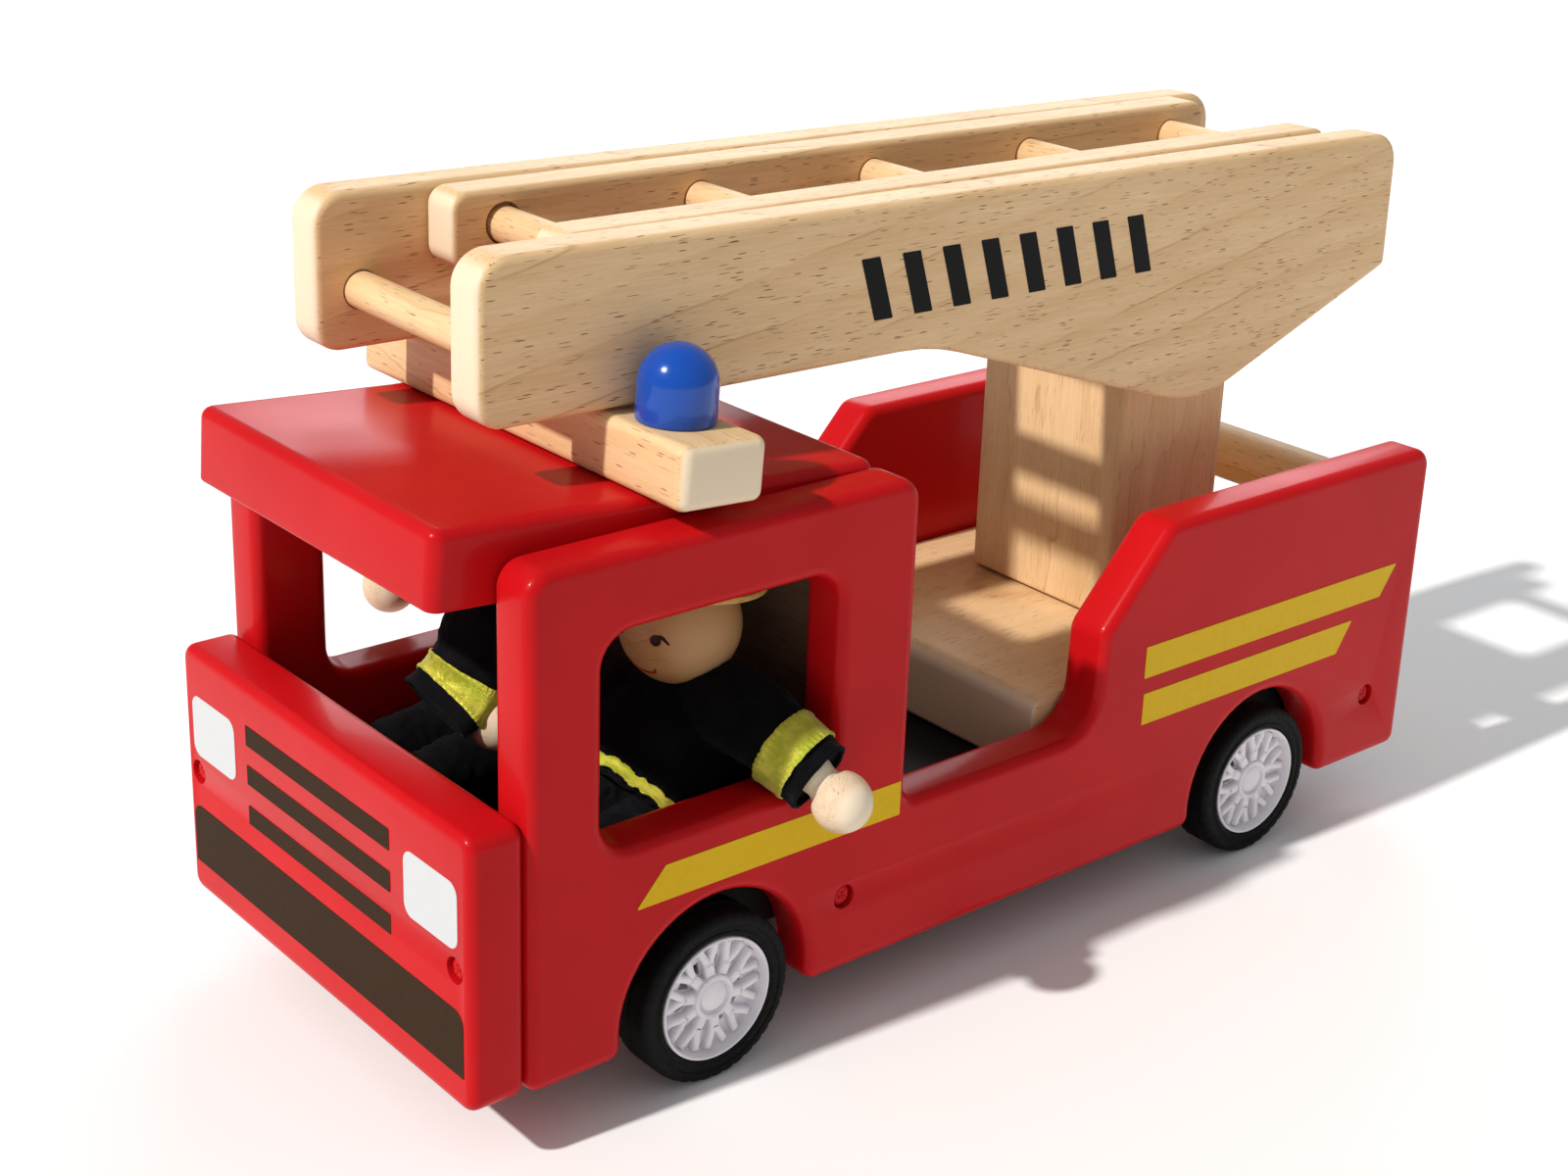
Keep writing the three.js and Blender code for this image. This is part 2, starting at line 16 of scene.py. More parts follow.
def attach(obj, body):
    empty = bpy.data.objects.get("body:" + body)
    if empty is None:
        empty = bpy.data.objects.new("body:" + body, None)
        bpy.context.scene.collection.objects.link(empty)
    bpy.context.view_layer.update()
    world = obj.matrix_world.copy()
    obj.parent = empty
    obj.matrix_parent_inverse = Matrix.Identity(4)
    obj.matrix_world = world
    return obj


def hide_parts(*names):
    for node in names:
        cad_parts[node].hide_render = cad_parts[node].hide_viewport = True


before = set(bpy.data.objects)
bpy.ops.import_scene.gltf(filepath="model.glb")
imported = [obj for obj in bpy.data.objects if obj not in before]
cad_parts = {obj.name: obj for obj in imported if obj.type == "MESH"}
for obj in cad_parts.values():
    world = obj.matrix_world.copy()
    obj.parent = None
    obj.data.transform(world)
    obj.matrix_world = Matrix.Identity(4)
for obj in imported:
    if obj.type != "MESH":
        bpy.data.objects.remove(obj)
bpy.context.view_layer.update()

# ---- Places ----

MM = 0.001
GAP = 0.3
SIDES = {"left": 1, "right": -1}

BOARD = 15.0
HALF_WIDTH = 73.0
INNER = HALF_WIDTH - BOARD
LENGTH = 345.0
LOWER_EDGE = -1.6
CAB_HEIGHT = 136.0
CAB_REAR = 222.5
CAB_WALL = 226.0
FLOOR = 11.0
FLOOR_TOP = FLOOR + BOARD + GAP
DECK_LENGTH = 159.0
DECK_TOP = 50.0
REAR_HEIGHT = 101.4
FRONT_X = 345.3
FRONT_THICKNESS = 15.8
CROSSBAR_AT = (14, 83)
CROSSBAR_RADIUS = 9

ROOF_REAR = 225.0
ROOF_TILT = 3.7
ROOF_LENGTH = 135.3
ROOF_HALF_WIDTH = 57.5
ROOF_THICKNESS = 20.3
BAR_START = 50.7
BAR_WIDTH = 26.5
BAR_THICKNESS = 16.5
BEACON_RADIUS = 10.2
BEACON_Y = 52.4

AXLE_Z = 4.8
AXLES = {"front": 286.0, "rear": 71.5}
WHEEL_TURN = {"front": 11, "rear": 25}
ARCH_RADIUS = 30.4
TYRE_RADIUS = 24.0
TYRE_WIDTH = 14.5

PIVOT_X = 76.0
PIVOT_Z = 142.0
LADDER_YAW = 1.2
LADDER_PITCH = 0.3
LADDER_HALF = 45.5
BEAM = 13.0
BEAM_INNER = LADDER_HALF - BEAM
RAIL_OUTER = BEAM_INNER - 0.6
RAIL = 13.0
RUNG_W = 47.2
RUNGS = [211.0 - 63.0 * i for i in range(5)]
EXTENSION = 150.0
OUTER_RUNG_W = 31.5
OUTER_RUNGS = {"front": 246.5, "middle": 108.0, "rear": -58.0}
DOWEL = 5.0


def shifted(x, y, z):
    return Matrix.Translation((x, y, z))


def turned_by(degrees, axis):
    return Matrix.Rotation(math.radians(degrees), 4, axis)


def axes(right, up, out):
    """The matrix that sends local x, y and z along three directions."""
    return Matrix((right, up, out)).transposed().to_4x4()


BODY = shifted(-0.180, 0, 0.0192) @ Matrix.Scale(MM, 4)
ROOF = BODY @ shifted(ROOF_REAR, 0, CAB_HEIGHT + 0.5) @ turned_by(-ROOF_TILT, "Y")
TURNTABLE = BODY @ shifted(PIVOT_X, 0, 0) @ turned_by(-LADDER_YAW, "Z")
LADDER = TURNTABLE @ shifted(0, 0, PIVOT_Z) @ turned_by(-LADDER_PITCH, "Y")
FORWARDS = axes((0, 1, 0), (0, 0, 1), (1, 0, 0))


def side_plane(base, y, sign):
    """Local x and y run along x and z; local z runs outwards from the plane at y."""
    return base @ shifted(0, y, 0) @ axes((1, 0, 0), (0, 0, 1), (0, sign, 0))


# ---- Outlines ----


def arc(x, y, radius, start, end, step=math.radians(7)):
    count = max(3, math.ceil(abs(end - start) / step))
    angles = [start + (end - start) * i / count for i in range(count + 1)]
    return [Vector((x + radius * math.cos(a), y + radius * math.sin(a))) for a in angles]


def circle(x, y, radius, count=32):
    return arc(x, y, radius, 0, 2 * math.pi * (1 - 1 / count), 2 * math.pi / count)


def corner(before, point, after, radius):
    """The arc that rounds the corner at point between its two neighbours."""
    u = (before - point).normalized()
    v = (after - point).normalized()
    half = u.angle(v) / 2
    middle = point + (u + v).normalized() * (radius / math.sin(half))
    reach = radius / math.tan(half)
    first, last = point + u * reach - middle, point + v * reach - middle
    start = math.atan2(first.y, first.x)
    turn = math.atan2(last.y, last.x) - start
    turn -= 2 * math.pi * round(turn / (2 * math.pi))
    return arc(middle.x, middle.y, radius, start, start + turn)


def outline(items):
    """A closed outline from corners (x, y, radius) and ready-made lists of points."""
    points = []
    for i, item in enumerate(items):
        if isinstance(item, list):
            points += item
            continue
        before, after = items[i - 1], items[(i + 1) % len(items)]
        before = before[-1] if isinstance(before, list) else Vector(before[:2])
        after = after[0] if isinstance(after, list) else Vector(after[:2])
        points += corner(before, Vector(item[:2]), after, item[2])
    return points


def rectangle(x0, y0, x1, y1, radius):
    return outline([(x0, y0, radius), (x1, y0, radius), (x1, y1, radius), (x0, y1, radius)])


def inset(points, distance):
    """The outline moved to its left by a distance, which is inwards when it runs anticlockwise."""
    moved = []
    for i, point in enumerate(points):
        a = (point - points[i - 1]).normalized()
        b = (points[(i + 1) % len(points)] - point).normalized()
        na, nb = Vector((-a.y, a.x)), Vector((-b.y, b.x))
        moved.append(point + (na + nb) * (distance / (1 + na.dot(nb))))
    return moved


# ---- Solids ----


class Form:
    """A mesh in the making, as rings of vertices with faces between them."""

    def __init__(self):
        self.verts = []
        self.faces = []

    def ring(self, points):
        start = len(self.verts)
        self.verts += [Vector(p) for p in points]
        return list(range(start, len(self.verts)))

    def bridge(self, a, b):
        for i in range(len(a)):
            j = (i + 1) % len(a)
            face = tuple(dict.fromkeys((a[i], a[j], b[j], b[i])))
            if len(face) > 2:
                self.faces.append(face)

    def skin(self, rings, closed=False):
        for a, b in zip(rings, rings[1:] + (rings[:1] if closed else [])):
            self.bridge(a, b)

    def cap(self, loops):
        flat = [i for loop in loops for i in loop]
        shapes = [[self.verts[i] for i in loop] for loop in loops]
        for triangle in geometry.tessellate_polygon(shapes):
            self.faces.append(tuple(flat[i] for i in triangle))

    def add(self, other, matrix=Matrix()):
        start = len(self.verts)
        self.verts += [matrix @ v for v in other.verts]
        self.faces += [tuple(i + start for i in face) for face in other.faces]


def board(points, thickness, edge, holes=(), recesses=(), steps=5, collar=0.5, low_edge=None):
    """A board with rounded edges. Recesses are (outline, depth) cut into its upper face."""
    form = Form()
    angles = [math.pi / 2 * k / steps for k in range(steps + 1)]

    def rounding(radius):
        bend = [(radius * (1 - math.sin(a)), radius * (1 - math.cos(a))) for a in angles]
        return [(radius + collar, 0), *bend]

    profile = rounding(low_edge or edge)
    profile += [(d, thickness - w) for d, w in reversed(rounding(edge))]
    ends = []
    for loop in [points, *[list(reversed(hole)) for hole in holes]]:
        rings = [form.ring([(p.x, p.y, w) for p in inset(loop, d)]) for d, w in profile]
        form.skin(rings)
        ends.append((rings[0], rings[-1]))
    mouths = []
    for loop, depth in recesses:
        steps_down = [(-0.3, 0), (-0.05, 0.1), (0, 0.4), (0, depth - 0.4), (0.4, depth)]
        rings = [form.ring([(p.x, p.y, thickness - w) for p in inset(loop, d)]) for d, w in steps_down]
        form.skin(rings)
        form.cap([rings[-1]])
        mouths.append(rings[0])
    form.cap([low for low, _ in ends])
    form.cap([high for _, high in ends] + mouths)
    return form


def lathe(profile, count=64, closed=False):
    """A profile of (radius, height) turned round the local z axis."""
    form = Form()
    rings = []
    for radius, height in profile:
        if radius < 1e-6:
            rings.append(form.ring([(0, 0, height)]) * count)
            continue
        turns = [2 * math.pi * i / count for i in range(count)]
        rings.append(form.ring([(radius * math.cos(a), radius * math.sin(a), height) for a in turns]))
    form.skin(rings, closed)
    return form


def dowel(length, radius=DOWEL, chamfer=0.5, count=40):
    """A dowel along local z, centred on the origin."""
    half = length / 2
    ends = [(0, half), (radius - chamfer, half), (radius - 0.15, half - 0.15 * chamfer)]
    ends += [(radius, half - chamfer), (radius, half * 0.3)]
    return lathe(ends + [(r, -z) for r, z in reversed(ends)], count)


def piece(name, body, form, matrix, material, replaces=(), smooth=35):
    """A finished object: cleaned mesh, smooth shading, material and body."""
    mesh = bpy.data.meshes.new(name)
    mesh.from_pydata([matrix @ v for v in form.verts], [], form.faces)
    work = bmesh.new()
    work.from_mesh(mesh)
    bmesh.ops.remove_doubles(work, verts=work.verts, dist=1e-7)
    bmesh.ops.dissolve_degenerate(work, edges=work.edges, dist=1e-8)
    bmesh.ops.recalc_face_normals(work, faces=work.faces)
    work.to_mesh(mesh)
    work.free()
    mesh.polygons.foreach_set("use_smooth", [True] * len(mesh.polygons))
    mesh.set_sharp_from_angle(angle=math.radians(smooth))
    mesh.materials.append(material)
    thing = bpy.data.objects.new(name, mesh)
    bpy.context.collection.objects.link(thing)
    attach(thing, body)
    if replaces:
        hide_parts(*replaces)
    return thing


def stand_in(node, form, matrix, material, body="root", smooth=35):
    """The fine surface that stands in for one node of the frame."""
    return piece(f"{node}_fine", body, form, matrix, material, [node], smooth)


# ---- Materials ----


class Shader:
    """A node material whose surface is one Principled BSDF."""

    def __init__(self, name, **sockets):
        self.material = bpy.data.materials.new(name)
        self.material.use_nodes = True
        self.tree = self.material.node_tree
        self.surface = self.tree.nodes["Principled BSDF"]
        for socket, value in sockets.items():
            self.surface.inputs[socket.replace("_", " ")].default_value = value

    def node(self, kind, inputs=None, **settings):
        made = self.tree.nodes.new(kind)
        for key, value in settings.items():
            setattr(made, key, value)
        for key, value in (inputs or {}).items():
            self.feed(made.inputs[key], value)
        return made

    def feed(self, socket, value):
        if isinstance(value, bpy.types.NodeSocket):
            self.tree.links.new(value, socket)
        else:
            socket.default_value = value

    def math(self, operation, a, b=0.0):
        return self.node("ShaderNodeMath", {0: a, 1: b}, operation=operation).outputs[0]

    def times(self, a, b):
        return self.math("MULTIPLY", a, b)

    def plus(self, a, b):
        return self.math("ADD", a, b)

    def spread(self, value, low, high, to_low=0.0, to_high=1.0, kind="SMOOTHSTEP"):
        inputs = {0: value, 1: low, 2: high, 3: to_low, 4: to_high}
        return self.node("ShaderNodeMapRange", inputs, interpolation_type=kind).outputs[0]

    def mix(self, factor, a, b):
        made = self.node("ShaderNodeMix", data_type="RGBA")
        for socket, value in zip((made.inputs[0], made.inputs[6], made.inputs[7]), (factor, a, b)):
            self.feed(socket, value)
        return made.outputs[2]

    def place(self, kind="Object"):
        return self.node("ShaderNodeTexCoord").outputs[kind]

    def millimetres(self, offset=(0, 0, 0), turn=(0, 0, 0)):
        return self.scaled(self.place(), (1000, 1000, 1000), offset, turn)

    def scaled(self, vector, scale, offset=(0, 0, 0), turn=(0, 0, 0)):
        inputs = {"Vector": vector, "Scale": scale, "Location": offset, "Rotation": turn}
        return self.node("ShaderNodeMapping", inputs).outputs[0]

    def noise(self, vector, scale=1.0, detail=2.0, roughness=0.5):
        inputs = {"Vector": vector, "Scale": scale, "Detail": detail, "Roughness": roughness}
        return self.node("ShaderNodeTexNoise", inputs).outputs["Fac"]

    def bump(self, height, distance, strength):
        inputs = {"Height": height, "Distance": distance, "Strength": strength}
        return self.node("ShaderNodeBump", inputs).outputs[0]

    def set(self, **sockets):
        for socket, value in sockets.items():
            self.feed(self.surface.inputs[socket.replace("_", " ")], value)
        return self.material


def rgb(red, green, blue):
    return (red, green, blue, 1)


def wood(name, axis, light, dark, end, seed, pores=1.0, pith=(30, -46), ring=6.5, turn=(0, 0, 0), tilt=0.03,
         small=1.0):
    """Rubberwood: soft growth bands, fine fibre, short dark pores, and paler end grain.

    The growth rings are ring millimetres apart around a pith that lies to one side of the board;
    tilt leans the pith along the grain, and small is how much finer than usual the pores are.
    """
    s = Shader(name, Coat_Weight=0.05, Coat_Roughness=0.35, Specular_IOR_Level=0.3)
    spot = s.millimetres((seed * 37, seed * 11, seed * 23), turn)
    parts = s.node("ShaderNodeSeparateXYZ", {0: spot}).outputs
    order = {"X": (0, 1, 2), "Y": (1, 2, 0), "Z": (2, 0, 1)}[axis]
    along, across, through = (parts[i] for i in order)
    grain = s.node("ShaderNodeCombineXYZ", {0: along, 1: across, 2: through}).outputs[0]

    figure = s.noise(s.scaled(grain, (0.013, 0.14, 0.14)), detail=3)
    fibre = s.noise(s.scaled(grain, (0.05, 1.6, 1.6)), detail=4, roughness=0.65)
    fine = s.noise(s.scaled(grain, (0.25, 6, 6)), detail=2)
    wobble = s.noise(s.scaled(grain, (0.02, 0.05, 0.05)), detail=3)
    centre = s.plus(s.times(wobble, 26), pith[0])
    side = s.math("SUBTRACT", across, centre)
    depth = s.plus(s.math("SUBTRACT", through, pith[1]), s.times(along, tilt))
    squares = s.plus(s.times(side, side), s.times(depth, depth))
    rings = s.math("DIVIDE", s.math("SQRT", squares), ring)
    phase = s.math("FRACT", rings)
    late = s.times(s.spread(phase, 0.35, 0.93), s.spread(phase, 0.93, 1.0, 1.0, 0.0))
    line = s.times(s.spread(phase, 0.9, 0.955), s.spread(phase, 0.955, 0.99, 1.0, 0.0))
    line = s.times(line, s.spread(s.noise(s.scaled(grain, (0.02, 0.1, 0.1))), 0.45, 0.6))

    marks = []
    for size, limit, shift in (((0.11, 1.25, 1.25), 0.2, 0), ((0.065, 2.1, 2.1), 0.19, 51)):
        cells = {"Vector": s.scaled(grain, size, (shift, shift, shift)), "Scale": small}
        pore = s.node("ShaderNodeTexVoronoi", cells)
        chosen = s.node("ShaderNodeSeparateColor", {0: pore.outputs["Color"]}).outputs[0]
        mark = s.spread(pore.outputs["Distance"], limit, limit * 0.6)
        marks.append(s.times(mark, s.spread(chosen, 0.25 / small, 0.65 / small)))
    flecks = s.math("MAXIMUM", marks[0], marks[1])

    tone = s.spread(figure, 0.3, 0.7, 0.0, 1.0, "LINEAR")
    tone = s.plus(s.times(tone, 0.4), s.times(late, 0.2))
    tone = s.plus(tone, s.times(s.spread(fibre, 0.3, 0.7), 0.34))
    colour = s.mix(tone, rgb(*light), rgb(*dark))
    colour = s.mix(s.spread(fine, 0.35, 0.75, 0.0, 0.16), colour, rgb(*(c * 0.62 for c in dark)))
    line_colour = rgb(dark[0] * 0.62, dark[1] * 0.46, dark[2] * 0.34)
    colour = s.mix(s.times(line, 0.45), colour, line_colour)
    pore_colour = rgb(dark[0] * 0.24, dark[1] * 0.15, dark[2] * 0.10)
    colour = s.mix(s.times(flecks, min(0.85 * pores, 1.0)), colour, pore_colour)

    direction = {"X": (1, 0, 0), "Y": (0, 1, 0), "Z": (0, 0, 1)}[axis]
    normal = s.place("Normal")
    facing = s.node("ShaderNodeVectorMath", {0: normal, 1: direction}, operation="DOT_PRODUCT")
    cut = s.spread(s.math("ABSOLUTE", facing.outputs["Value"]), 0.45, 0.8)
    speckle = s.spread(s.noise(grain, 1.5, 3, 0.7), 0.35, 0.7, 0.0, 0.5)
    colour = s.mix(cut, colour, s.mix(speckle, rgb(*end), rgb(*light)))

    relief = s.math("SUBTRACT", s.times(fibre, 0.35), flecks)
    rough = s.spread(fibre, 0.2, 0.8, 0.42, 0.6, "LINEAR")
    return s.set(Base_Color=colour, Roughness=rough, Normal=s.bump(relief, 0.00009, 0.55))


def enamel(name, base, dark, rough, coat, gloss, grain=0.00002):
    """Sprayed enamel over wood: slight mottling, orange peel and a soft gloss."""
    s = Shader(name, Coat_Weight=coat, Coat_Roughness=0.12, Specular_IOR_Level=gloss)
    spot = s.millimetres()
    cloudy = s.noise(spot, 0.03, 4)
    grit = s.noise(spot, 0.9, 3, 0.6)
    peel = s.noise(spot, 0.35, 3, 0.5)
    colour = s.mix(s.spread(cloudy, 0.2, 0.8), rgb(*base), rgb(*dark))
    colour = s.mix(s.spread(grit, 0.6, 0.85, 0.0, 0.2), colour, rgb(*(c * 0.75 for c in dark)))
    relief = s.plus(peel, s.times(grit, 0.15))
    shine = s.spread(cloudy, 0.2, 0.8, rough, rough + 0.08)
    return s.set(Base_Color=colour, Roughness=shine, Normal=s.bump(relief, grain, 0.7))


def film(name, base, dark, rough=0.45, gloss=0.15):
    """A printed film with a slightly uneven ink."""
    s = Shader(name, Roughness=rough, Specular_IOR_Level=gloss)
    spot = s.millimetres()
    ink = s.noise(spot, 0.5, 4, 0.65)
    colour = s.mix(s.spread(ink, 0.4, 0.75, 0.0, 0.5), rgb(*base), rgb(*dark))
    return s.set(Base_Color=colour, Normal=s.bump(s.noise(spot, 0.3, 2), 0.00003, 0.5))


def plastic(name, base, dark):
    s = Shader(name, Roughness=0.35, Specular_IOR_Level=0.4)
    spot = s.millimetres()
    tint = s.spread(s.noise(spot, 0.15, 3), 0.35, 0.7)
    colour = s.mix(tint, rgb(*base), rgb(*dark))
    return s.set(Base_Color=colour, Normal=s.bump(s.noise(spot, 2.2, 2), 0.00002, 0.5))


def rubber(name):
    s = Shader(name, Specular_IOR_Level=0.14)
    spot = s.millimetres()
    dust = s.spread(s.noise(spot, 0.22, 5, 0.6), 0.5, 0.85)
    colour = s.mix(dust, rgb(0.0022, 0.0022, 0.0023), rgb(0.007, 0.0068, 0.0066))
    rough = s.spread(s.noise(spot, 0.8, 3), 0.3, 0.7, 0.55, 0.75, "LINEAR")
    return s.set(Base_Color=colour, Roughness=rough, Normal=s.bump(s.noise(spot, 3.0, 3), 0.00003, 0.7))


def brushed(name):
    """Steel rod with fine lines along y."""
    s = Shader(name, Metallic=1.0)
    lines = s.noise(s.scaled(s.place(), (4000, 40, 4000)), 1.0, 3)
    colour = s.mix(s.spread(lines, 0.3, 0.7), rgb(0.6, 0.6, 0.61), rgb(0.42, 0.42, 0.43))
    return s.set(Base_Color=colour, Roughness=s.spread(lines, 0.2, 0.8, 0.25, 0.45, "LINEAR"))


PALE = (0.86, 0.61, 0.345)
TAN = (0.67, 0.415, 0.19)
CUT = (0.80, 0.67, 0.50)


def plain_wood(name, axis, seed, *details, **more):
    return wood(name, axis, PALE, TAN, CUT, seed, *details, **more)


RED = enamel("red_enamel", (0.54, 0.006, 0.009), (0.48, 0.0045, 0.007), 0.3, 0.1, 0.07)
BLACK_PAINT = enamel("black_enamel", (0.006, 0.006, 0.007), (0.003, 0.003, 0.0035), 0.5, 0.0, 0.15)
BLUE = enamel("blue_enamel", (0.0005, 0.068, 0.42), (0.0004, 0.058, 0.37), 0.16, 0.5, 0.25, 0.00004)
YELLOW = film("yellow_film", (0.72, 0.46, 0.001), (0.64, 0.40, 0.002))
BROWN = film("brown_film", (0.036, 0.018, 0.008), (0.024, 0.012, 0.006), 0.6, 0.06)
WHITE_FILM = film("white_film", (0.58, 0.59, 0.60), (0.54, 0.56, 0.57))
BLACK_FILM = film("black_film", (0.004, 0.004, 0.004), (0.008, 0.0075, 0.007), 0.6)
WHITE = plastic("white_plastic", (0.86, 0.83, 0.87), (0.79, 0.76, 0.81))
RUBBER = rubber("tyre_rubber")
STEEL = brushed("axle_steel")
DOWEL_WOOD = plain_wood("rung_wood", "Y", 21, 0.8)

# ---- Body ----

SCREWS = {"front": (243.7, 21.0), "rear": (19.8, 21.0)}
BUMPER_SCREW = (65.4, 36.5)
SCREW_RADIUS = 3.5
SCREW_DEPTH = 2.6
SCREW_SUNK = 1.0


def wheel_arch(x, fillet=3.9):
    """The arch over a wheel with its two corners to the lower edge rounded, rear end first."""
    level = LOWER_EDGE + fillet
    across = math.sqrt((ARCH_RADIUS + fillet) ** 2 - (AXLE_Z - level) ** 2)
    rear, front = Vector((x - across, level)), Vector((x + across, level))
    middle = Vector((x, AXLE_Z))

    def heading(tail, tip):
        return math.atan2(tip.y - tail.y, tip.x - tail.x)

    into_rear = heading(rear, middle)
    out_of_front = heading(front, middle)
    points = arc(*rear, fillet, -math.pi / 2, into_rear)
    points += arc(*middle, ARCH_RADIUS, heading(middle, rear) + 2 * math.pi, heading(middle, front))[1:-1]
    return points + arc(*front, fillet, out_of_front - 2 * math.pi, -math.pi / 2)


def side_panels():
    points = outline([
        (0, LOWER_EDGE, 4), wheel_arch(AXLES["rear"]), wheel_arch(AXLES["front"]),
        (LENGTH, LOWER_EDGE, 4), (LENGTH, CAB_HEIGHT, 7), (CAB_REAR, CAB_HEIGHT, 7), (CAB_REAR, 43, 4),
        (149, 43, 13), (148, 73, 7), (122, REAR_HEIGHT, 7), (0, REAR_HEIGHT, 6),
    ])
    window = rectangle(249, 58, 323, 115.5, 9)
    recesses = [(circle(x, z, SCREW_RADIUS, 24), SCREW_DEPTH) for x, z in SCREWS.values()]
    for side, sign in SIDES.items():
        form = board(points, BOARD, 3.2, [window], recesses)
        plane = side_plane(BODY, sign * INNER, sign)
        stand_in(f"{side}_side_panel", form, plane, RED)


def front_panel():
    points = rectangle(-72.4, LOWER_EDGE, 72.4, 73.6, 4.6)
    y, z = BUMPER_SCREW
    recesses = [(circle(sign * y, z, SCREW_RADIUS, 24), SCREW_DEPTH) for sign in SIDES.values()]
    plane = BODY @ shifted(FRONT_X, 0, 0) @ FORWARDS
    form = board(points, FRONT_THICKNESS, 2.9, (), recesses, collar=0.1)
    stand_in("front_panel", form, plane, RED)


def roof_and_bar():
    lid = rectangle(0, -ROOF_HALF_WIDTH, ROOF_LENGTH, ROOF_HALF_WIDTH, 3.8)
    form = board(lid, ROOF_THICKNESS, 3.0, low_edge=1.2)
    stand_in("roof", form, ROOF @ shifted(0, 0, -ROOF_THICKNESS), RED)
    bar = rectangle(BAR_START, -HALF_WIDTH, BAR_START + BAR_WIDTH, HALF_WIDTH, 3.4)
    form = board(bar, BAR_THICKNESS, 2.6, collar=0.4)
    grain = plain_wood("bar_wood", "Y", 3)
    stand_in("light_bar", form, ROOF @ shifted(0, 0, GAP), grain)
    radius = BEACON_RADIUS
    wall = 9.4
    dome = [(p.x, p.y) for p in arc(0, wall, radius, 0, math.pi / 2, math.radians(5))]
    foot = [(0, 0), (radius - 0.8, 0), (radius - 0.2, 0.15), (radius, 0.6), (radius, 5)]
    profile = [*foot, *dome[:-1], (0, wall + radius)]
    seat = ROOF @ shifted(BAR_START + BAR_WIDTH / 2, BEACON_Y, GAP + BAR_THICKNESS + 0.1)
    stand_in("beacon", lathe(profile, 96), seat, BLUE)


def inner_boards():
    rear = 3
    deck = outline([(rear, FLOOR_TOP, 1.8), (DECK_LENGTH, FLOOR_TOP, 1.8), (DECK_LENGTH, DECK_TOP, 5),
                    (rear, DECK_TOP, 3)])
    half = INNER - GAP
    plane = side_plane(BODY, -half, 1)
    grain = plain_wood("deck_wood", "X", 5, 0.8)
    piece("deck_fine", "root", board(deck, 2 * half, 1.2), plane, grain, ["deck_block"])
    wall = rectangle(-half, FLOOR_TOP, half, CAB_HEIGHT - ROOF_THICKNESS - 0.6, 2)
    plane = BODY @ shifted(CAB_WALL, 0, 0) @ FORWARDS
    # The wall's wood colours are darkened far below the other woods as painted shade for the dark inside of
    # the cab.
    grain = wood("shade_darkened_wall_wood", "Y", (0.19, 0.12, 0.075), (0.12, 0.072, 0.045), (0.22, 0.15, 0.10), 6)
    piece("cab_wall_fine", "root", board(wall, BOARD, 1.2), plane, grain, ["cab_rear_wall"])
    floor = rectangle(1, -half, LENGTH - 0.5, half, 2)
    form = board(floor, BOARD, 1.2)
    plane = BODY @ shifted(0, 0, FLOOR)
    piece("floor_fine", "root", form, plane, BLACK_PAINT, ["floor_board"])
    grain = plain_wood("crossbar_wood", "Y", 7)
    x, z = CROSSBAR_AT
    plane = BODY @ shifted(x, 0, z) @ turned_by(90, "X")
    form = dowel(2 * (INNER + 8), CROSSBAR_RADIUS, 1, 56)
    stand_in("rear_crossbar", form, plane, grain)


def screw_form():
    """A painted cross-head screw; its head's top is at z = 0."""
    profile = [(0, -1.8), (2.9, -1.8), (3.1, -1.5), (3.1, -0.7), (2.7, -0.25), (1.9, -0.02)]
    form = lathe([*profile, (1.35, 0), (1.2, -0.1), (0, -0.1)], 32)
    for k in range(4):
        wing = board(rectangle(0.25, -0.32, 2.1, 0.32, 0.15), 0.5, 0.08, steps=1, collar=0.02)
        form.add(wing, shifted(0, 0, -0.38) @ turned_by(45 + 90 * k, "Z"))
    return form


def screws():
    form = screw_form()
    y, height = BUMPER_SCREW
    for side, sign in SIDES.items():
        face = side_plane(BODY, sign * (HALF_WIDTH - SCREW_SUNK), sign)
        planes = {name: face @ shifted(x, z, 0) for name, (x, z) in SCREWS.items()}
        bumper = shifted(FRONT_X + FRONT_THICKNESS - SCREW_SUNK, sign * y, height)
        planes["bumper"] = BODY @ bumper @ FORWARDS
        for name, plane in planes.items():
            stand_in(f"{side}_{name}_screw", form, plane, RED)


# ---- Printed films ----


def flat_film(points, thickness=0.14, sunk=0.04):
    form = Form()
    low = form.ring([(p.x, p.y, -sunk) for p in points])
    middle = form.ring([(p.x, p.y, thickness - 0.05) for p in points])
    high = form.ring([(p.x, p.y, thickness) for p in inset(points, 0.05)])
    form.bridge(low, middle)
    form.bridge(middle, high)
    form.cap([low])
    form.cap([high])
    return form


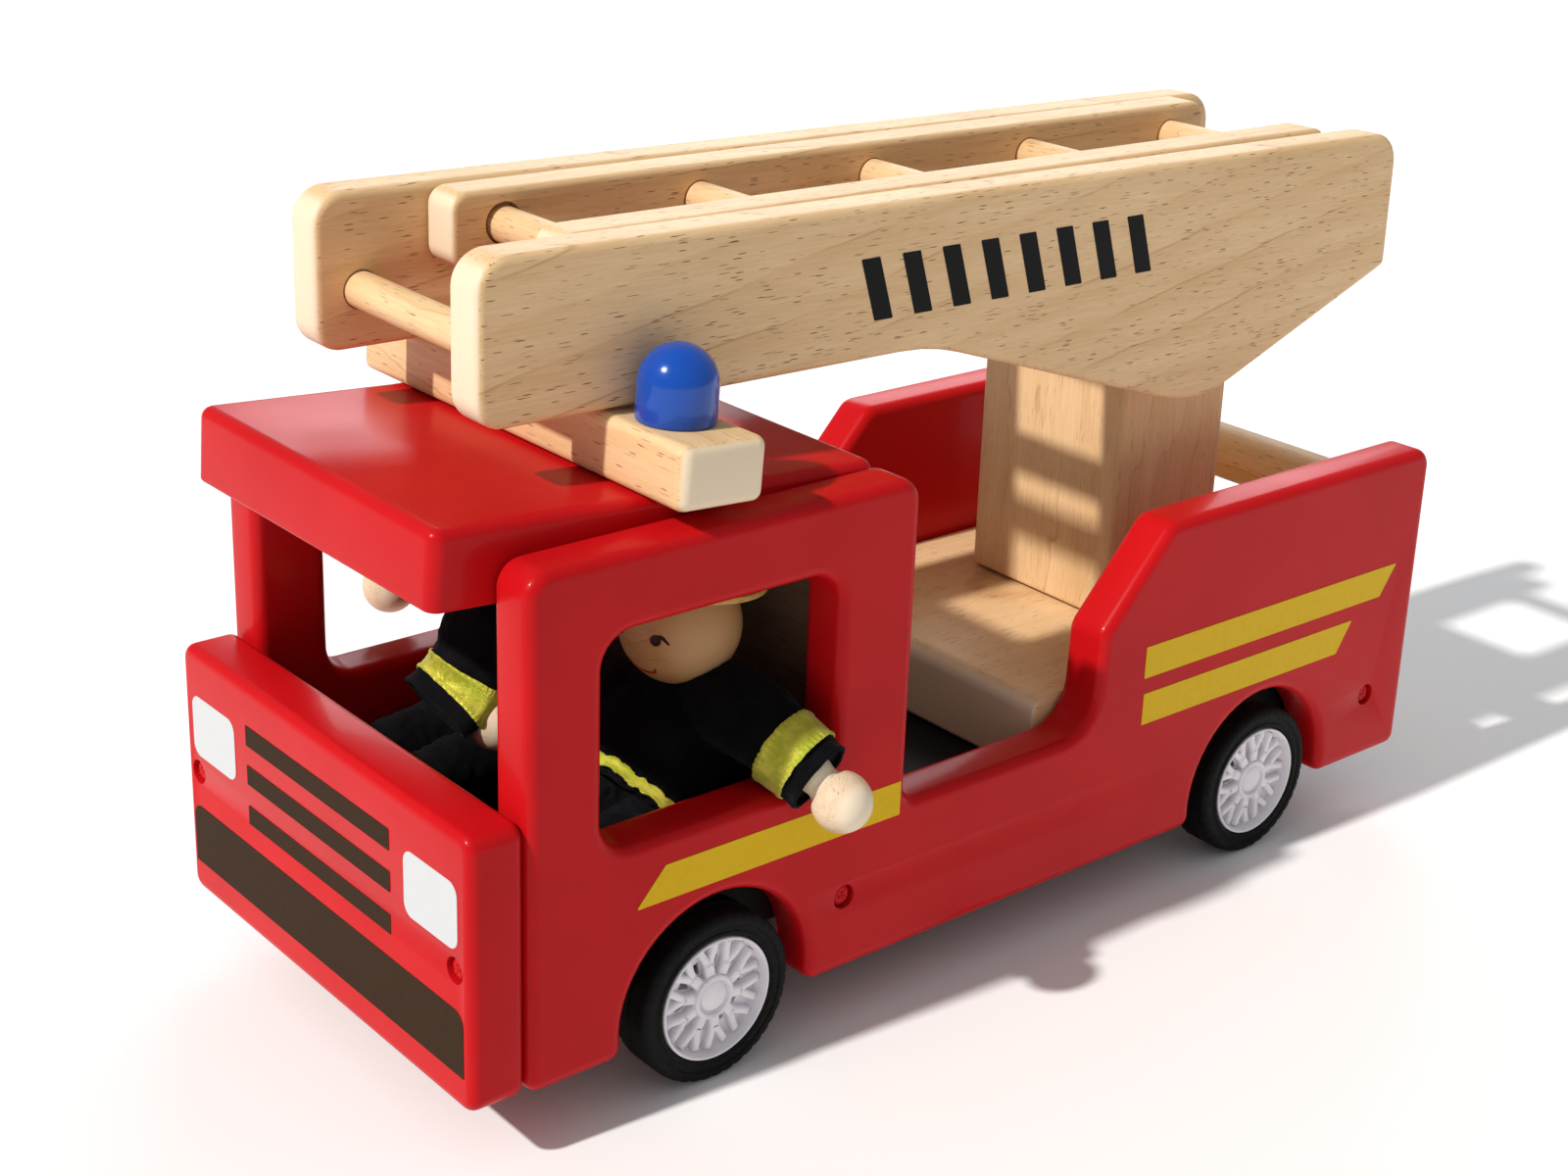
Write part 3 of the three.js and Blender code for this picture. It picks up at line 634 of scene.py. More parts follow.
def films():
    def four(*corners):
        return outline([(x, y, 0.35) for x, y in corners])

    stripes = {
        "rear_upper_stripe": four((19, 55), (129.5, 55), (129.5, 65), (12, 65)),
        "rear_lower_stripe": four((38.5, 40), (129, 40), (129, 50), (32, 50)),
        "cab_stripe": four((225, 40), (313, 40), (304, 50), (225, 50)),
    }
    for side, sign in SIDES.items():
        plane = side_plane(BODY, sign * HALF_WIDTH, sign)
        for name, points in stripes.items():
            piece(f"{side}_{name}", "root", flat_film(points), plane, YELLOW)
    face = BODY @ shifted(FRONT_X + FRONT_THICKNESS, 0, 0) @ FORWARDS
    for side, sign in SIDES.items():
        low, high = sorted((sign * 43, sign * 67))
        lamp = rectangle(low, 42, high, 60, 3.6)
        piece(f"{side}_headlamp", "root", flat_film(lamp), face, WHITE_FILM)
    for i, (low, high) in enumerate(((32.7, 38.3), (44.5, 50.3), (56, 62))):
        grille = rectangle(-36.4, low, 36.4, high, 0.35)
        piece(f"grille_bar_{i + 1}", "root", flat_film(grille), face, BROWN)
    bumper = outline([(-69, 8, 0.35), (69, 8, 0.35), (69, 26, 4), (-69, 26, 4)])
    piece("bumper_bar", "root", flat_film(bumper), face, BROWN)


# ---- Wheels ----

SPOKES = 10


def polar(radius, degrees):
    return Vector((radius * math.cos(math.radians(degrees)), radius * math.sin(math.radians(degrees))))


def limb(path, widths, thickness, edge):
    """A flat bar with rounded edges that follows a path, with its own width at each point."""
    left, right = [], []
    for i, point in enumerate(path):
        ahead = path[min(i + 1, len(path) - 1)] - path[max(i - 1, 0)]
        normal = Vector((-ahead.y, ahead.x)).normalized() * widths[i] / 2
        left.append(point + normal)
        right.append(point - normal)
    return board(right + list(reversed(left)), thickness, edge, steps=3, collar=0.1)


def curve(points, count):
    """Points on a smooth curve through the given ones (Catmull-Rom)."""
    padded = [2 * points[0] - points[1], *points, 2 * points[-1] - points[-2]]
    made = []
    for i in range(1, len(padded) - 2):
        a, b, c, d = padded[i - 1:i + 3]
        steps = count if i < len(padded) - 3 else count + 1
        for k in range(steps):
            t = k / count
            made.append(0.5 * ((2 * b) + (c - a) * t + (2 * a - 5 * b + 4 * c - d) * t * t
                               + (3 * b - a - 3 * c + d) * t ** 3))
    return made


def rim_form():
    barrel = [
        (16.3, 0.7), (17.1, 0.5), (17.4, 0.8), (17.4, 13.7), (17.3, 14.1), (17.0, 14.3), (16.7, 14.2),
        (16.5, 13.8), (16.35, 12.6), (16.1, 11.2), (15.7, 10.2), (15.0, 9.7), (15.0, 8.6),
        (15.7, 8.4), (16.0, 7.6), (16.1, 1.2),
    ]
    form = lathe(barrel, 96, True)
    gaps = []
    for k in range(SPOKES):
        between = 360 / SPOKES * (k + 0.5)
        gap = [polar(7.0, between - 3), polar(10.8, between - 7),
               polar(10.8, between + 7), polar(7.0, between + 3)]
        gaps.append(outline([(p.x, p.y, 0.3) for p in gap]))
    form.add(board(circle(0, 0, 15.4, 96), 1.3, 0.2, gaps, steps=2, collar=0.1), shifted(0, 0, 8.6))
    for k in range(SPOKES):
        turn = 360 / SPOKES * k
        stem = curve([polar(5.4, turn), polar(7.6, turn), polar(10.2, turn)], 4)
        form.add(limb(stem, [3.3 - 0.05 * i for i in range(len(stem))], 3.0, 0.9), shifted(0, 0, 9.5))
        for sign in (-1, 1):
            arm = curve([polar(8.0, turn + sign * 2), polar(10.6, turn + sign * 4.2),
                         polar(13.2, turn + sign * 8.2), polar(15.9, turn + sign * 10.4)], 4)
            form.add(limb(arm, [2.1] * len(arm), 2.7, 0.8), shifted(0, 0, 9.5))
    hub = [
        (2.6, 1.2), (4.6, 1.2), (4.8, 8.4), (6.0, 8.8), (6.3, 9.6), (6.3, 12.5), (6.1, 13.1),
        (5.6, 13.35), (5.05, 13.1), (4.75, 12.2), (4.5, 11.9), (4.2, 12.1), (3.9, 12.6),
        (3.0, 13.0), (1.6, 13.2), (0, 13.25), (0, 11), (2.6, 11),
    ]
    form.add(lathe(hub, 64))
    return form


def tyre_form(count=160):
    """The tyre: square shoulders, rings on each side wall and notched tread edges."""
    half = [
        (17.6, 0.9), (17.9, 0.45), (18.5, 0.4), (18.7, 0.2), (19.1, 0.2), (19.3, 0.45), (20.8, 0.5),
        (21.0, 0.25), (21.5, 0.2), (22.3, 0.25), (22.9, 0.45), (23.5, 0.85), (23.85, 1.4), (TYRE_RADIUS, 2.2),
    ]
    profile = [*half, (TYRE_RADIUS, 6.4), (23.7, 6.6), (23.7, 7.9), (TYRE_RADIUS, 8.1)]
    profile += [(r, TYRE_WIDTH - w) for r, w in reversed(half)]
    form = Form()
    rings = []
    for radius, w in profile:
        ring = []
        for i in range(count):
            shoulder = 22.0 < radius < 23.95 and i % 4 == 0
            r = radius - (0.35 if shoulder else 0)
            a = 2 * math.pi * i / count
            ring.append((r * math.cos(a), r * math.sin(a), w))
        rings.append(form.ring(ring))
    form.skin(rings, True)
    return form


def wheels():
    rim, tyre = rim_form(), tyre_form()
    for axle, x in AXLES.items():
        for side, sign in SIDES.items():
            plane = side_plane(BODY, sign * (HALF_WIDTH - TYRE_WIDTH), sign) @ shifted(x, AXLE_Z, 0)
            plane = plane @ turned_by(WHEEL_TURN[axle], "Z")
            body = f"{axle}_axle_set"
            stand_in(f"{axle}_{side}_rim", rim, plane, WHITE, body)
            stand_in(f"{axle}_{side}_tyre", tyre, plane, RUBBER, body)


# ---- Turntable and ladder ----


def turntable():
    bottom, top = DECK_TOP + 1, PIVOT_Z + 18
    form = board(rectangle(-23, -31, 23, 31, 2.2), top - bottom, 1.6, collar=0.4)
    grain = plain_wood("pedestal_wood", "Z", 9, 0.5, (10, -30), 9)
    stand_in("pedestal", form, TURNTABLE @ shifted(0, 0, bottom), grain, "turntable")


def outer_ladder():
    """Two deep beams with the slide's slots in their inner faces, and the fixed rungs between them."""
    points = outline([
        (-76, 14, 3), (6.9, -19.2, 42), (116, 15.6, 70), (260, 15.6, 8), (260, 58, 9), (-75.2, 56.4, 10),
    ])
    reach = DOWEL + GAP
    end = RUNGS[-1] + EXTENSION + reach
    slot = rectangle(RUNGS[-1] - reach, RUNG_W - reach, end, RUNG_W + reach, reach * 0.98)
    recesses = [(circle(u, OUTER_RUNG_W, DOWEL + 0.25, 32), 4.0) for u in OUTER_RUNGS.values()]
    recesses.append((slot, 5.0))
    for side, sign in SIDES.items():
        form = board(points, BEAM, 2.2, (), recesses, collar=0.5)
        plane = side_plane(LADDER, sign * LADDER_HALF, -sign)
        grain = plain_wood(f"{side}_beam_wood", "X", 12 + sign, 1.2, (34, -60 * sign), 13, tilt=0.2)
        piece(f"{side}_beam_fine", "outer_ladder", form, plane, grain, [f"{side}_ladder_beam"])
    for name, u in OUTER_RUNGS.items():
        plane = LADDER @ shifted(u, 0, OUTER_RUNG_W) @ turned_by(90, "X")
        form = dowel(2 * BEAM_INNER + 7)
        stand_in(f"outer_rung_{name}", form, plane, DOWEL_WOOD, "outer_ladder")


def inner_ladder():
    """Two rails and five rungs. The rearmost rung reaches into the beams' slots."""
    points = outline([(-57.5, 36.9, 5), (227.5, 36.9, 5), (227.5, 57.2, 5), (-57.5, 57.2, 6)])
    holes = [(circle(u, RUNG_W, DOWEL + 0.22, 32), 4.0) for u in RUNGS[1:]]
    holes.append((circle(RUNGS[0] + 0.5, RUNG_W + 0.6, DOWEL + 0.7, 32), 3.0))
    for side, sign in SIDES.items():
        form = board(points, RAIL, 1.8, (), holes, collar=0.4)
        plane = side_plane(LADDER, sign * RAIL_OUTER, -sign)
        grain = plain_wood(f"{side}_rail_wood", "X", 16 + sign, 1.0, (20, 50 * sign), 8)
        piece(f"{side}_rail_fine", "inner_ladder", form, plane, grain, [f"{side}_inner_rail"])
    length = 2 * (RAIL_OUTER - RAIL) + 7
    lengths = [length - 2.2, length, length, length, 2 * (BEAM_INNER + 4)]
    for i, (u, length) in enumerate(zip(RUNGS, lengths)):
        plane = LADDER @ shifted(u, 0, RUNG_W) @ turned_by(90, "X")
        stand_in(f"inner_rung_{i + 1}", dowel(length), plane, DOWEL_WOOD, "inner_ladder")


def beam_bars():
    """A row of slanted printed bars along each beam's outer face."""
    for side, sign in SIDES.items():
        plane = side_plane(LADDER, sign * LADDER_HALF, sign)
        for i in range(8):
            left, low, high = 33 + i * 14.1, 26.2, 43.4
            width, lean, corner_radius = 6.4, 5.5, 0.3
            corners = [(left, low), (left + width, low), (left + width + lean, high), (left + lean, high)]
            points = outline([(u, w, corner_radius) for u, w in corners])
            name = f"{side}_beam_bar_{i + 1}"
            piece(name, "outer_ladder", flat_film(points), plane, BLACK_FILM)


# ---- Dolls ----

HEAD_RADIUS = 16.5
HAND_RADIUS = 8.1
BRIM_RADIUS = 22.0
HAT_TILT = math.degrees(0.12)


class Tube:
    """A limb of cloth: elliptical sections (half width, half height) along a smooth path."""

    def __init__(self, path, sections, up=(0, 0, 1)):
        steps, count = 8, 48
        path = curve([Vector(p) for p in path], steps)
        sections = curve([Vector(s) for s in sections], steps)
        travelled = [0.0]
        for a, b in zip(path, path[1:]):
            travelled.append(travelled[-1] + (b - a).length)
        self.length = travelled[-1]
        self.up = Vector(up)
        self.path, self.sections = [], []
        for k in range(count + 1):
            spot = self.length * k / count
            i = max(j for j, d in enumerate(travelled[:-1]) if d <= spot + 1e-9)
            t = (spot - travelled[i]) / (travelled[i + 1] - travelled[i])
            self.path.append(path[i].lerp(path[i + 1], t))
            self.sections.append(sections[i].lerp(sections[i + 1], t))

    def point(self, distance, turn, out=0.0):
        """A point on the limb: how far along, what share of a turn round, how far outwards."""
        last = len(self.path) - 1
        spot = min(max(distance / self.length, 0), 1) * last
        i = min(int(spot), last - 1)
        ahead = (self.path[min(i + 2, last)] - self.path[max(i - 1, 0)]).normalized()
        middle = self.path[i].lerp(self.path[i + 1], spot - i)
        middle = middle + ahead * max(distance - self.length, 0)
        half = self.sections[i].lerp(self.sections[i + 1], spot - i)
        side = ahead.cross(self.up).normalized()
        top = side.cross(ahead)
        angle = 2 * math.pi * turn
        across = side * ((half.x + out) * math.cos(angle))
        return middle + across + top * ((half.y + out) * math.sin(angle))

    def solid(self):
        """The limb as a closed form, its two ends closed by fans."""
        count, rings = 28, 22
        form = Form()
        loops = []
        for k in range(rings + 1):
            loops.append(form.ring([self.point(self.length * k / rings, i / count) for i in range(count)]))
        form.skin(loops)
        for loop in (loops[0], loops[-1]):
            middle = sum((form.verts[i] for i in loop), Vector()) / len(loop)
            tip = form.ring([middle])[0]
            for a, b in zip(loop, loop[1:] + loop[:1]):
                form.faces.append((a, b, tip))
        return form

    def lift(self, start, end, skin, count):
        """How far a band has to stand off the limb, round it, to lie on the buckled suit."""
        heights = []
        for k in range(count):
            highest = 0.0
            for step in range(6):
                distance = start + (end - start) * step / 5
                rim = self.point(distance, k / count)
                core = (rim + self.point(distance, k / count + 0.5)) / 2
                hit = skin.ray_cast(core, (rim - core).normalized())[0]
                if hit is not None:
                    highest = max(highest, (hit - rim).dot((rim - core).normalized()))
            heights.append(min(highest, CLOTH_REACH))
        near = range(-3, 4)
        heights = [max(heights[(k + j) % count] for j in near) for k in range(count)]
        return [sum(heights[(k + j) % count] for j in near) / len(near) for k in range(count)]

    def shell(self, start, end, profile, count, wave, wander=lambda turn: 0.0):
        """A closed band round the limb from start to end, in millimetres along it.

        The profile is (share of the way along, how far out) pairs. The wave moves each point
        outwards and the wander moves the whole band along the limb.
        """
        form = Form()
        loops = []
        for along, out in profile:
            ring = []
            for k in range(count):
                turn = k / count
                distance = start + (end - start) * along + wander(turn)
                ring.append(self.point(distance, turn, out + wave(turn, along)))
            loops.append(form.ring(ring))
        form.skin(loops, True)
        return form


def ball(middle, radii):
    """An ellipsoid as rings round the local z axis."""
    angles = [math.pi * k / 16 for k in range(17)]
    form = lathe([(math.sin(a), -math.cos(a)) for a in angles], 24)
    form.verts = [Vector(middle) + Vector(v[i] * radii[i] for i in range(3)) for v in form.verts]
    return form


SUIT_VOXEL = 1.05
SUIT_SMOOTHING = 6


def merged(forms):
    """One closed mesh around several overlapping forms."""
    whole = Form()
    for form in forms:
        whole.add(form)
    mesh = bpy.data.meshes.new("merging")
    mesh.from_pydata(whole.verts, [], whole.faces)
    rough = bpy.data.objects.new("merging", mesh)
    bpy.context.collection.objects.link(rough)
    remesh = rough.modifiers.new("remesh", "REMESH")
    remesh.mode = "VOXEL"
    remesh.voxel_size = SUIT_VOXEL
    smooth = rough.modifiers.new("smooth", "SMOOTH")
    smooth.factor = 0.6
    smooth.iterations = SUIT_SMOOTHING
    result = applied(rough)
    bpy.data.objects.remove(rough)
    return result


def applied(thing):
    """A new mesh with the object's modifiers in it."""
    graph = bpy.context.evaluated_depsgraph_get()
    return bpy.data.meshes.new_from_object(thing.evaluated_get(graph))


def crumple(mesh, depth, shift):
    """Long soft folds and small creases, pressed inwards so that the cloth stays in its space."""
    normals = [v.normal.copy() for v in mesh.vertices]
    for v, normal in zip(mesh.vertices, normals):
        x, y, z = v.co
        folds = noise.noise(Vector((x * 0.11 + shift, y * 0.17, z * 0.06)))
        creases = noise.noise(Vector((x * 0.3, y * 0.2 + shift, z * 0.34)))
        press = 0.55 * abs(folds) ** 0.6 + 0.45 * (1 - abs(creases) * 2.2)
        v.co -= normal * (depth * max(press, 0.0))


CLOTH_FRAMES = 20
CLOTH_PRESSURE = 1.2
CLOTH_SPARE = 0.16
CLOTH_REACH = 1.7


def inflated(mesh):
    """Buckles a suit by cloth simulation: it has more cloth than it needs and a little air in it.

    The cloth is simulated at ten times its size, where Blender's solver is steady. No point may
    end further than CLOTH_REACH, in millimetres, from where it started.
    """
    scale = 0.01
    start = [v.co.copy() for v in mesh.vertices]
    for v in mesh.vertices:
        v.co *= scale
    thing = bpy.data.objects.new("simulated", mesh)
    bpy.context.collection.objects.link(thing)
    modifier = thing.modifiers.new("cloth", "CLOTH")
    settings = modifier.settings
    settings.quality = 5
    settings.mass = 0.2
    settings.tension_stiffness = settings.compression_stiffness = 12
    settings.shear_stiffness = 5
    settings.bending_stiffness = 0.05
    settings.use_pressure = True
    settings.uniform_pressure_force = CLOTH_PRESSURE
    settings.shrink_min = -CLOTH_SPARE
    settings.effector_weights.gravity = 0
    modifier.collision_settings.use_collision = False
    modifier.point_cache.frame_end = CLOTH_FRAMES
    scene = bpy.context.scene
    for step in range(1, CLOTH_FRAMES + 1):
        scene.frame_set(step)
    result = applied(thing)
    scene.frame_set(1)
    bpy.data.objects.remove(thing)
    for v, before in zip(result.vertices, start):
        move = v.co / scale - before
        reach = move.length
        if reach > 1e-9:
            move *= CLOTH_REACH * math.tanh(reach / CLOTH_REACH) / reach
        v.co = before + move
    return result


def form_of(mesh):
    form = Form()
    form.verts = [v.co.copy() for v in mesh.vertices]
    form.faces = [tuple(p.vertices) for p in mesh.polygons]
    return form


def cloth(name):
    """Thin black woven cloth with a faint sheen and lint."""
    s = Shader(name, Roughness=0.9, Sheen_Weight=0.05, Sheen_Roughness=0.45, Specular_IOR_Level=0.1)
    s.surface.inputs["Sheen Tint"].default_value = rgb(0.55, 0.6, 0.75)
    spot = s.millimetres()
    parts = s.node("ShaderNodeSeparateXYZ", {0: spot}).outputs
    pitch = 2 * math.pi / 0.62
    weft = s.math("SINE", s.times(s.plus(parts[0], parts[2]), pitch))
    warp = s.math("SINE", s.times(s.plus(parts[1], parts[2]), pitch))
    weave = s.times(weft, warp)
    lint = s.spread(s.noise(spot, 0.8, 4, 0.7), 0.56, 0.75)
    worn = s.spread(s.noise(spot, 0.09, 3), 0.35, 0.7)
    colour = s.mix(worn, rgb(0.0016, 0.0016, 0.0022), rgb(0.0035, 0.0036, 0.0046))
    colour = s.mix(s.times(lint, 0.4), colour, rgb(0.012, 0.013, 0.016))
    relief = s.plus(s.times(weave, 0.5), s.noise(spot, 1.6, 3))
    return s.set(Base_Color=colour, Normal=s.bump(relief, 0.00012, 0.8))


def ribbon_cloth(name):
    """Metallic yellow-green ribbon with fine crosswise threads."""
    s = Shader(name, Roughness=0.34, Metallic=0.35, Sheen_Weight=0.2)
    spot = s.millimetres()
    parts = s.node("ShaderNodeSeparateXYZ", {0: spot}).outputs
    pitch = 2 * math.pi / 0.45
    one = s.math("SINE", s.times(s.plus(parts[0], s.times(parts[2], 0.6)), pitch))
    two = s.math("SINE", s.times(s.math("SUBTRACT", parts[2], parts[1]), pitch))
    thread = s.spread(s.times(one, two), -1, 1)
    patch = s.spread(s.noise(spot, 0.3, 3), 0.36, 0.66)
    colour = s.mix(patch, rgb(0.46, 0.50, 0.012), rgb(0.72, 0.66, 0.06))
    colour = s.mix(s.times(thread, 0.4), colour, rgb(0.30, 0.34, 0.015))
    relief = s.plus(s.times(thread, 0.6), s.noise(spot, 0.9, 3))
    return s.set(Base_Color=colour, Normal=s.bump(relief, 0.00016, 0.9))


BLACK_CLOTH = cloth("black_cloth")
RIBBON = ribbon_cloth("ribbon_cloth")
EYE_PAINT = film("eye_paint", (0.035, 0.012, 0.010), (0.020, 0.008, 0.008), 0.3)
LIP_PAINT = film("lip_paint", (0.42, 0.02, 0.018), (0.32, 0.015, 0.014), 0.35)

DOLLS = {
    "driver": {
        "head": (270, 33, 93.5),
        "facing": 8,
        "trunk": [(269, 33, 81), (268, 33, 74), (270, 33, 66), (277, 33, 56.5), (285, 33, 48.5)],
        "hips": (266, 33, 39.5),
        "arms": {
            "left": {
                "path": [(267, 36, 71), (266, 48, 73), (264.5, 60, 71.5), (262.8, 70, 68.2),
                         (260.8, 77.4, 64.8)],
                "sections": [(10, 10), (12, 11.5), (11.3, 9.8), (10.2, 7.6), (9.8, 7)],
                "up": (0.59, 0.65, 0.48),
                "hand": (257, 85, 58.3),
            },
            "right": {
                "path": [(267, 28, 72), (272, 18, 66), (280, 11, 58), (285.5, 7.5, 51.5)],
                "sections": [(9, 9), (9, 9), (8, 8), (8.2, 7)],
                "up": (0, 0, 1),
                "hand": (289, 4.5, 47),
            },
        },
    },
    "mate": {
        "head": (266, -31, 95),
        "facing": -6,
        "trunk": [(265, -31, 82.5), (265, -31.5, 74), (267, -32, 66), (274, -32.5, 56.5), (281, -33, 48.5)],
        "hips": (264, -33, 39.5),
        "arms": {
            "left": {
                "path": [(264, -26, 73), (281, -19, 83), (294, -12, 90), (303, -8, 88), (308, -6.3, 79.5),
                         (313, -6.7, 72), (318.3, -7.3, 68.1)],
                "sections": [(9, 9), (9.5, 9), (10.5, 9), (11.5, 9), (12.5, 7.5), (13.8, 5.8), (14.5, 5.2)],
                "up": (0.59, 0.14, 0.79),
                "wrist": (310, -2, 71),
                "hand": (308, 4, 64.1),
            },
            "right": {
                "path": [(264, -38, 74), (272, -53, 77), (281, -67, 79), (285.5, -76, 75.5)],
                "sections": [(9, 9), (9.5, 9), (8.4, 7.4), (8.4, 6.4)],
                "up": (0, 0, 1),
                "hand": (287.5, -85, 68.7),
            },
        },
    },
}
TRUNK_SECTIONS = [(6.5, 6.5), (14, 12), (18, 15.5), (20.5, 18.5), (21.5, 19.5)]


def head_form():
    """A turned bead, with a small flat and a drilled hole at each end."""
    angles = [math.radians(-74 + 148 * k / 44) for k in range(45)]
    rind = [(HEAD_RADIUS * math.cos(a), HEAD_RADIUS * math.sin(a)) for a in angles]
    low = rind[0][1]
    return lathe([(0, low + 2), (2.5, low + 2), (2.5, low - 0.05), (4.2, low - 0.1), *rind,
                  (4.2, 0.1 - low), (2.5, 0.05 - low), (2.5, -low - 2), (0, -low - 2)], 96)


def on_head(head, degrees_round, degrees_up, out):
    a, e = math.radians(degrees_round), math.radians(degrees_up)
    direction = Vector((math.cos(e) * math.cos(a), math.cos(e) * math.sin(a), math.sin(e)))
    return Vector(head) + direction * (HEAD_RADIUS + out)


def painted_line(head, marks, widths, thick=0.12):
    """A painted stroke over the head, along marks of (degrees round, degrees up)."""
    form = Form()
    marks = curve([Vector(m) for m in marks], 6)
    widths = [w.x for w in curve([Vector((w, 0)) for w in widths], 6)]
    loops = []
    for i, mark in enumerate(marks):
        ahead = (marks[min(i + 1, len(marks) - 1)] - marks[max(i - 1, 0)]).normalized()
        side = Vector((-ahead.y, ahead.x)) * math.degrees(widths[i] / 2 / HEAD_RADIUS)
        top = side * 0.9
        corners = [(mark + side, -0.05), (mark - side, -0.05), (mark - top, thick), (mark + top, thick)]
        loops.append(form.ring([on_head(head, spot.x, spot.y, out) for spot, out in corners]))
    form.skin(loops)
    form.faces += [tuple(loops[0]), tuple(loops[-1])]
    return form


def painted_dot(head, mark, radius, thick=0.14):
    form = Form()
    loops = []
    for r, out in ((radius, -0.1), (radius, thick * 0.7), (radius * 0.85, thick), (radius * 0.45, thick)):
        spots = [Vector(mark) + polar(math.degrees(r / HEAD_RADIUS), 15 * k) for k in range(24)]
        loops.append(form.ring([on_head(head, spot.x, spot.y, out) for spot in spots]))
    form.skin(loops)
    form.faces += [tuple(loops[0]), tuple(loops[-1])]
    return form


def face(name, doll):
    head, facing = doll["head"], doll["facing"]
    paint = Form()
    for sign in (1, -1):
        paint.add(painted_dot(head, (facing + sign * 22, 3), 1.55))
        lash = [(facing + sign * 22, 7.5), (facing + sign * 28, 6.5), (facing + sign * 35, 0.5)]
        paint.add(painted_line(head, lash, [0.5, 1.05, 0.5]))
    piece(f"{name}_eyes", "root", paint, BODY, EYE_PAINT)
    smile = [(facing + round_, up) for round_, up in (
        (-20, -29), (-17, -34.5), (-5, -37.5), (8, -37), (16.5, -35), (18.5, -29))]
    mouth = painted_line(head, smile, [0.7, 1.0, 1.1, 1.1, 1.1, 0.8])
    piece(f"{name}_smile", "root", mouth, BODY, LIP_PAINT)


def hat_form():
    """A turned hat: flat rolled brim, a small step, and a domed crown."""
    rest = HEAD_RADIUS * 0.72
    brim = BRIM_RADIUS
    return lathe([
        (12.2, rest - 0.2), (14.5, rest), (brim - 1, rest - 0.1), (brim - 0.2, rest + 0.35),
        (brim, rest + 1.1), (brim - 0.25, rest + 1.8), (brim - 1, rest + 2.2), (17.4, rest + 2.5),
        (15.3, rest + 3.1),
        (14.7, rest + 4.2), (14.2, rest + 5.6), (13.0, rest + 7.6), (10.9, rest + 9.4), (7.8, rest + 10.7),
        (4, rest + 11.4), (0, rest + 11.6), (0, rest + 7), (6, rest + 6), (9.5, rest + 4), (11.8, rest + 1.2),
    ], 96)


def hand_form(wrist_length):
    """A ball with a flared wrist peg; the wrist runs along local -z."""
    angles = [math.radians(90 - 148 * k / 30) for k in range(31)]
    rind = [(HAND_RADIUS * math.cos(a), HAND_RADIUS * math.sin(a)) for a in angles]
    low = rind[-1][1]
    return lathe([*rind[:-4], (5.0, low + 0.9), (4.75, low - 0.3), (4.9, low - 1.6), (5.3, low - 3.6),
                  (5.3, low - 6), (5.0, -wrist_length), (0, -wrist_length)], 56)


def towards(point, aim):
    """Local z turned from one point towards another."""
    turn = (Vector(aim) - Vector(point)).to_track_quat("Z", "Y")
    return Matrix.Translation(aim) @ turn.to_matrix().to_4x4()


# Cross-sections of a ribbon and of a cuff: the share of the way along, and how far out.
SELVEDGE = [
    (0, 0.15), (0, 0.5), (0.06, 0.68), (0.14, 0.62), (0.2, 0.45), (0.5, 0.48), (0.8, 0.45), (0.86, 0.62),
    (0.94, 0.68), (1, 0.5), (1, 0.15), (0.5, 0.1),
]
CUFF = [
    (0, -1.4), (0, 0.0), (0.6, 0.1), (0.85, 0.3), (0.96, 0.35), (1, 0.1), (1, -0.5), (0.93, -0.75),
    (0.5, -1.1),
]


def ribbon(name, tube, start, end, skin, seed, wander=0.25):
    """A reflective ribbon sewn round a limb, lying on the buckled cloth under it."""
    count = 240
    lift = tube.lift(start, end, skin, count)

    def wave(turn, along):
        spot = Vector((*polar(2.2, 360 * turn), along + seed))
        stitch = 0.08 * math.sin(turn * 2 * math.pi * 44) if along < 0.15 or along > 0.85 else 0
        return lift[round(turn * count)] + 0.3 * abs(noise.noise(spot)) + stitch

    def drift(turn):
        spot = Vector((*polar(3.5, 360 * turn), seed * 1.7))
        return wander * (noise.noise(spot) + 0.7 * noise.noise(spot * 3) + 0.4 * noise.noise(spot * 7))

    form = tube.shell(start, end, SELVEDGE, count, wave, drift)
    return piece(name, "root", form, BODY, RIBBON, smooth=60)


def frayed(turn, along):
    """The uneven outer edge of a cuff."""
    return 0.3 * along * math.sin(turn * 2 * math.pi * 7 + 2 * math.sin(turn * 2 * math.pi * 3))


def leg(hips, sign):
    """One leg stretched forwards from the hips."""
    steps = [(-2, 7, 0), (26, 9.5, 0.5), (48, 11, -1.5), (55, 11, 0.5)]
    path = [hips + Vector((x, sign * y, z)) for x, y, z in steps]
    return Tube(path, [(10.5, 10.5), (9.6, 9.8), (8.6, 9), (6, 7.5)]).solid()


def suit_mesh(facts, trunk, arms, shift):
    """The whole suit in one: trunk, hips, legs, sleeves and shoulders."""
    hips, chest = Vector(facts["hips"]), Vector(facts["trunk"][1])
    forms = [trunk.solid(), ball(hips, (19, 20, 12))]
    forms += [leg(hips, sign) for sign in SIDES.values()]
    forms += [arm.solid() for arm in arms.values()]
    forms.append(ball(chest + Vector((0, 0, -2)), (11.5, 19, 8.5)))
    suit = merged(forms)
    crumple(suit, 0.9, shift)
    suit = inflated(suit)
    return suit


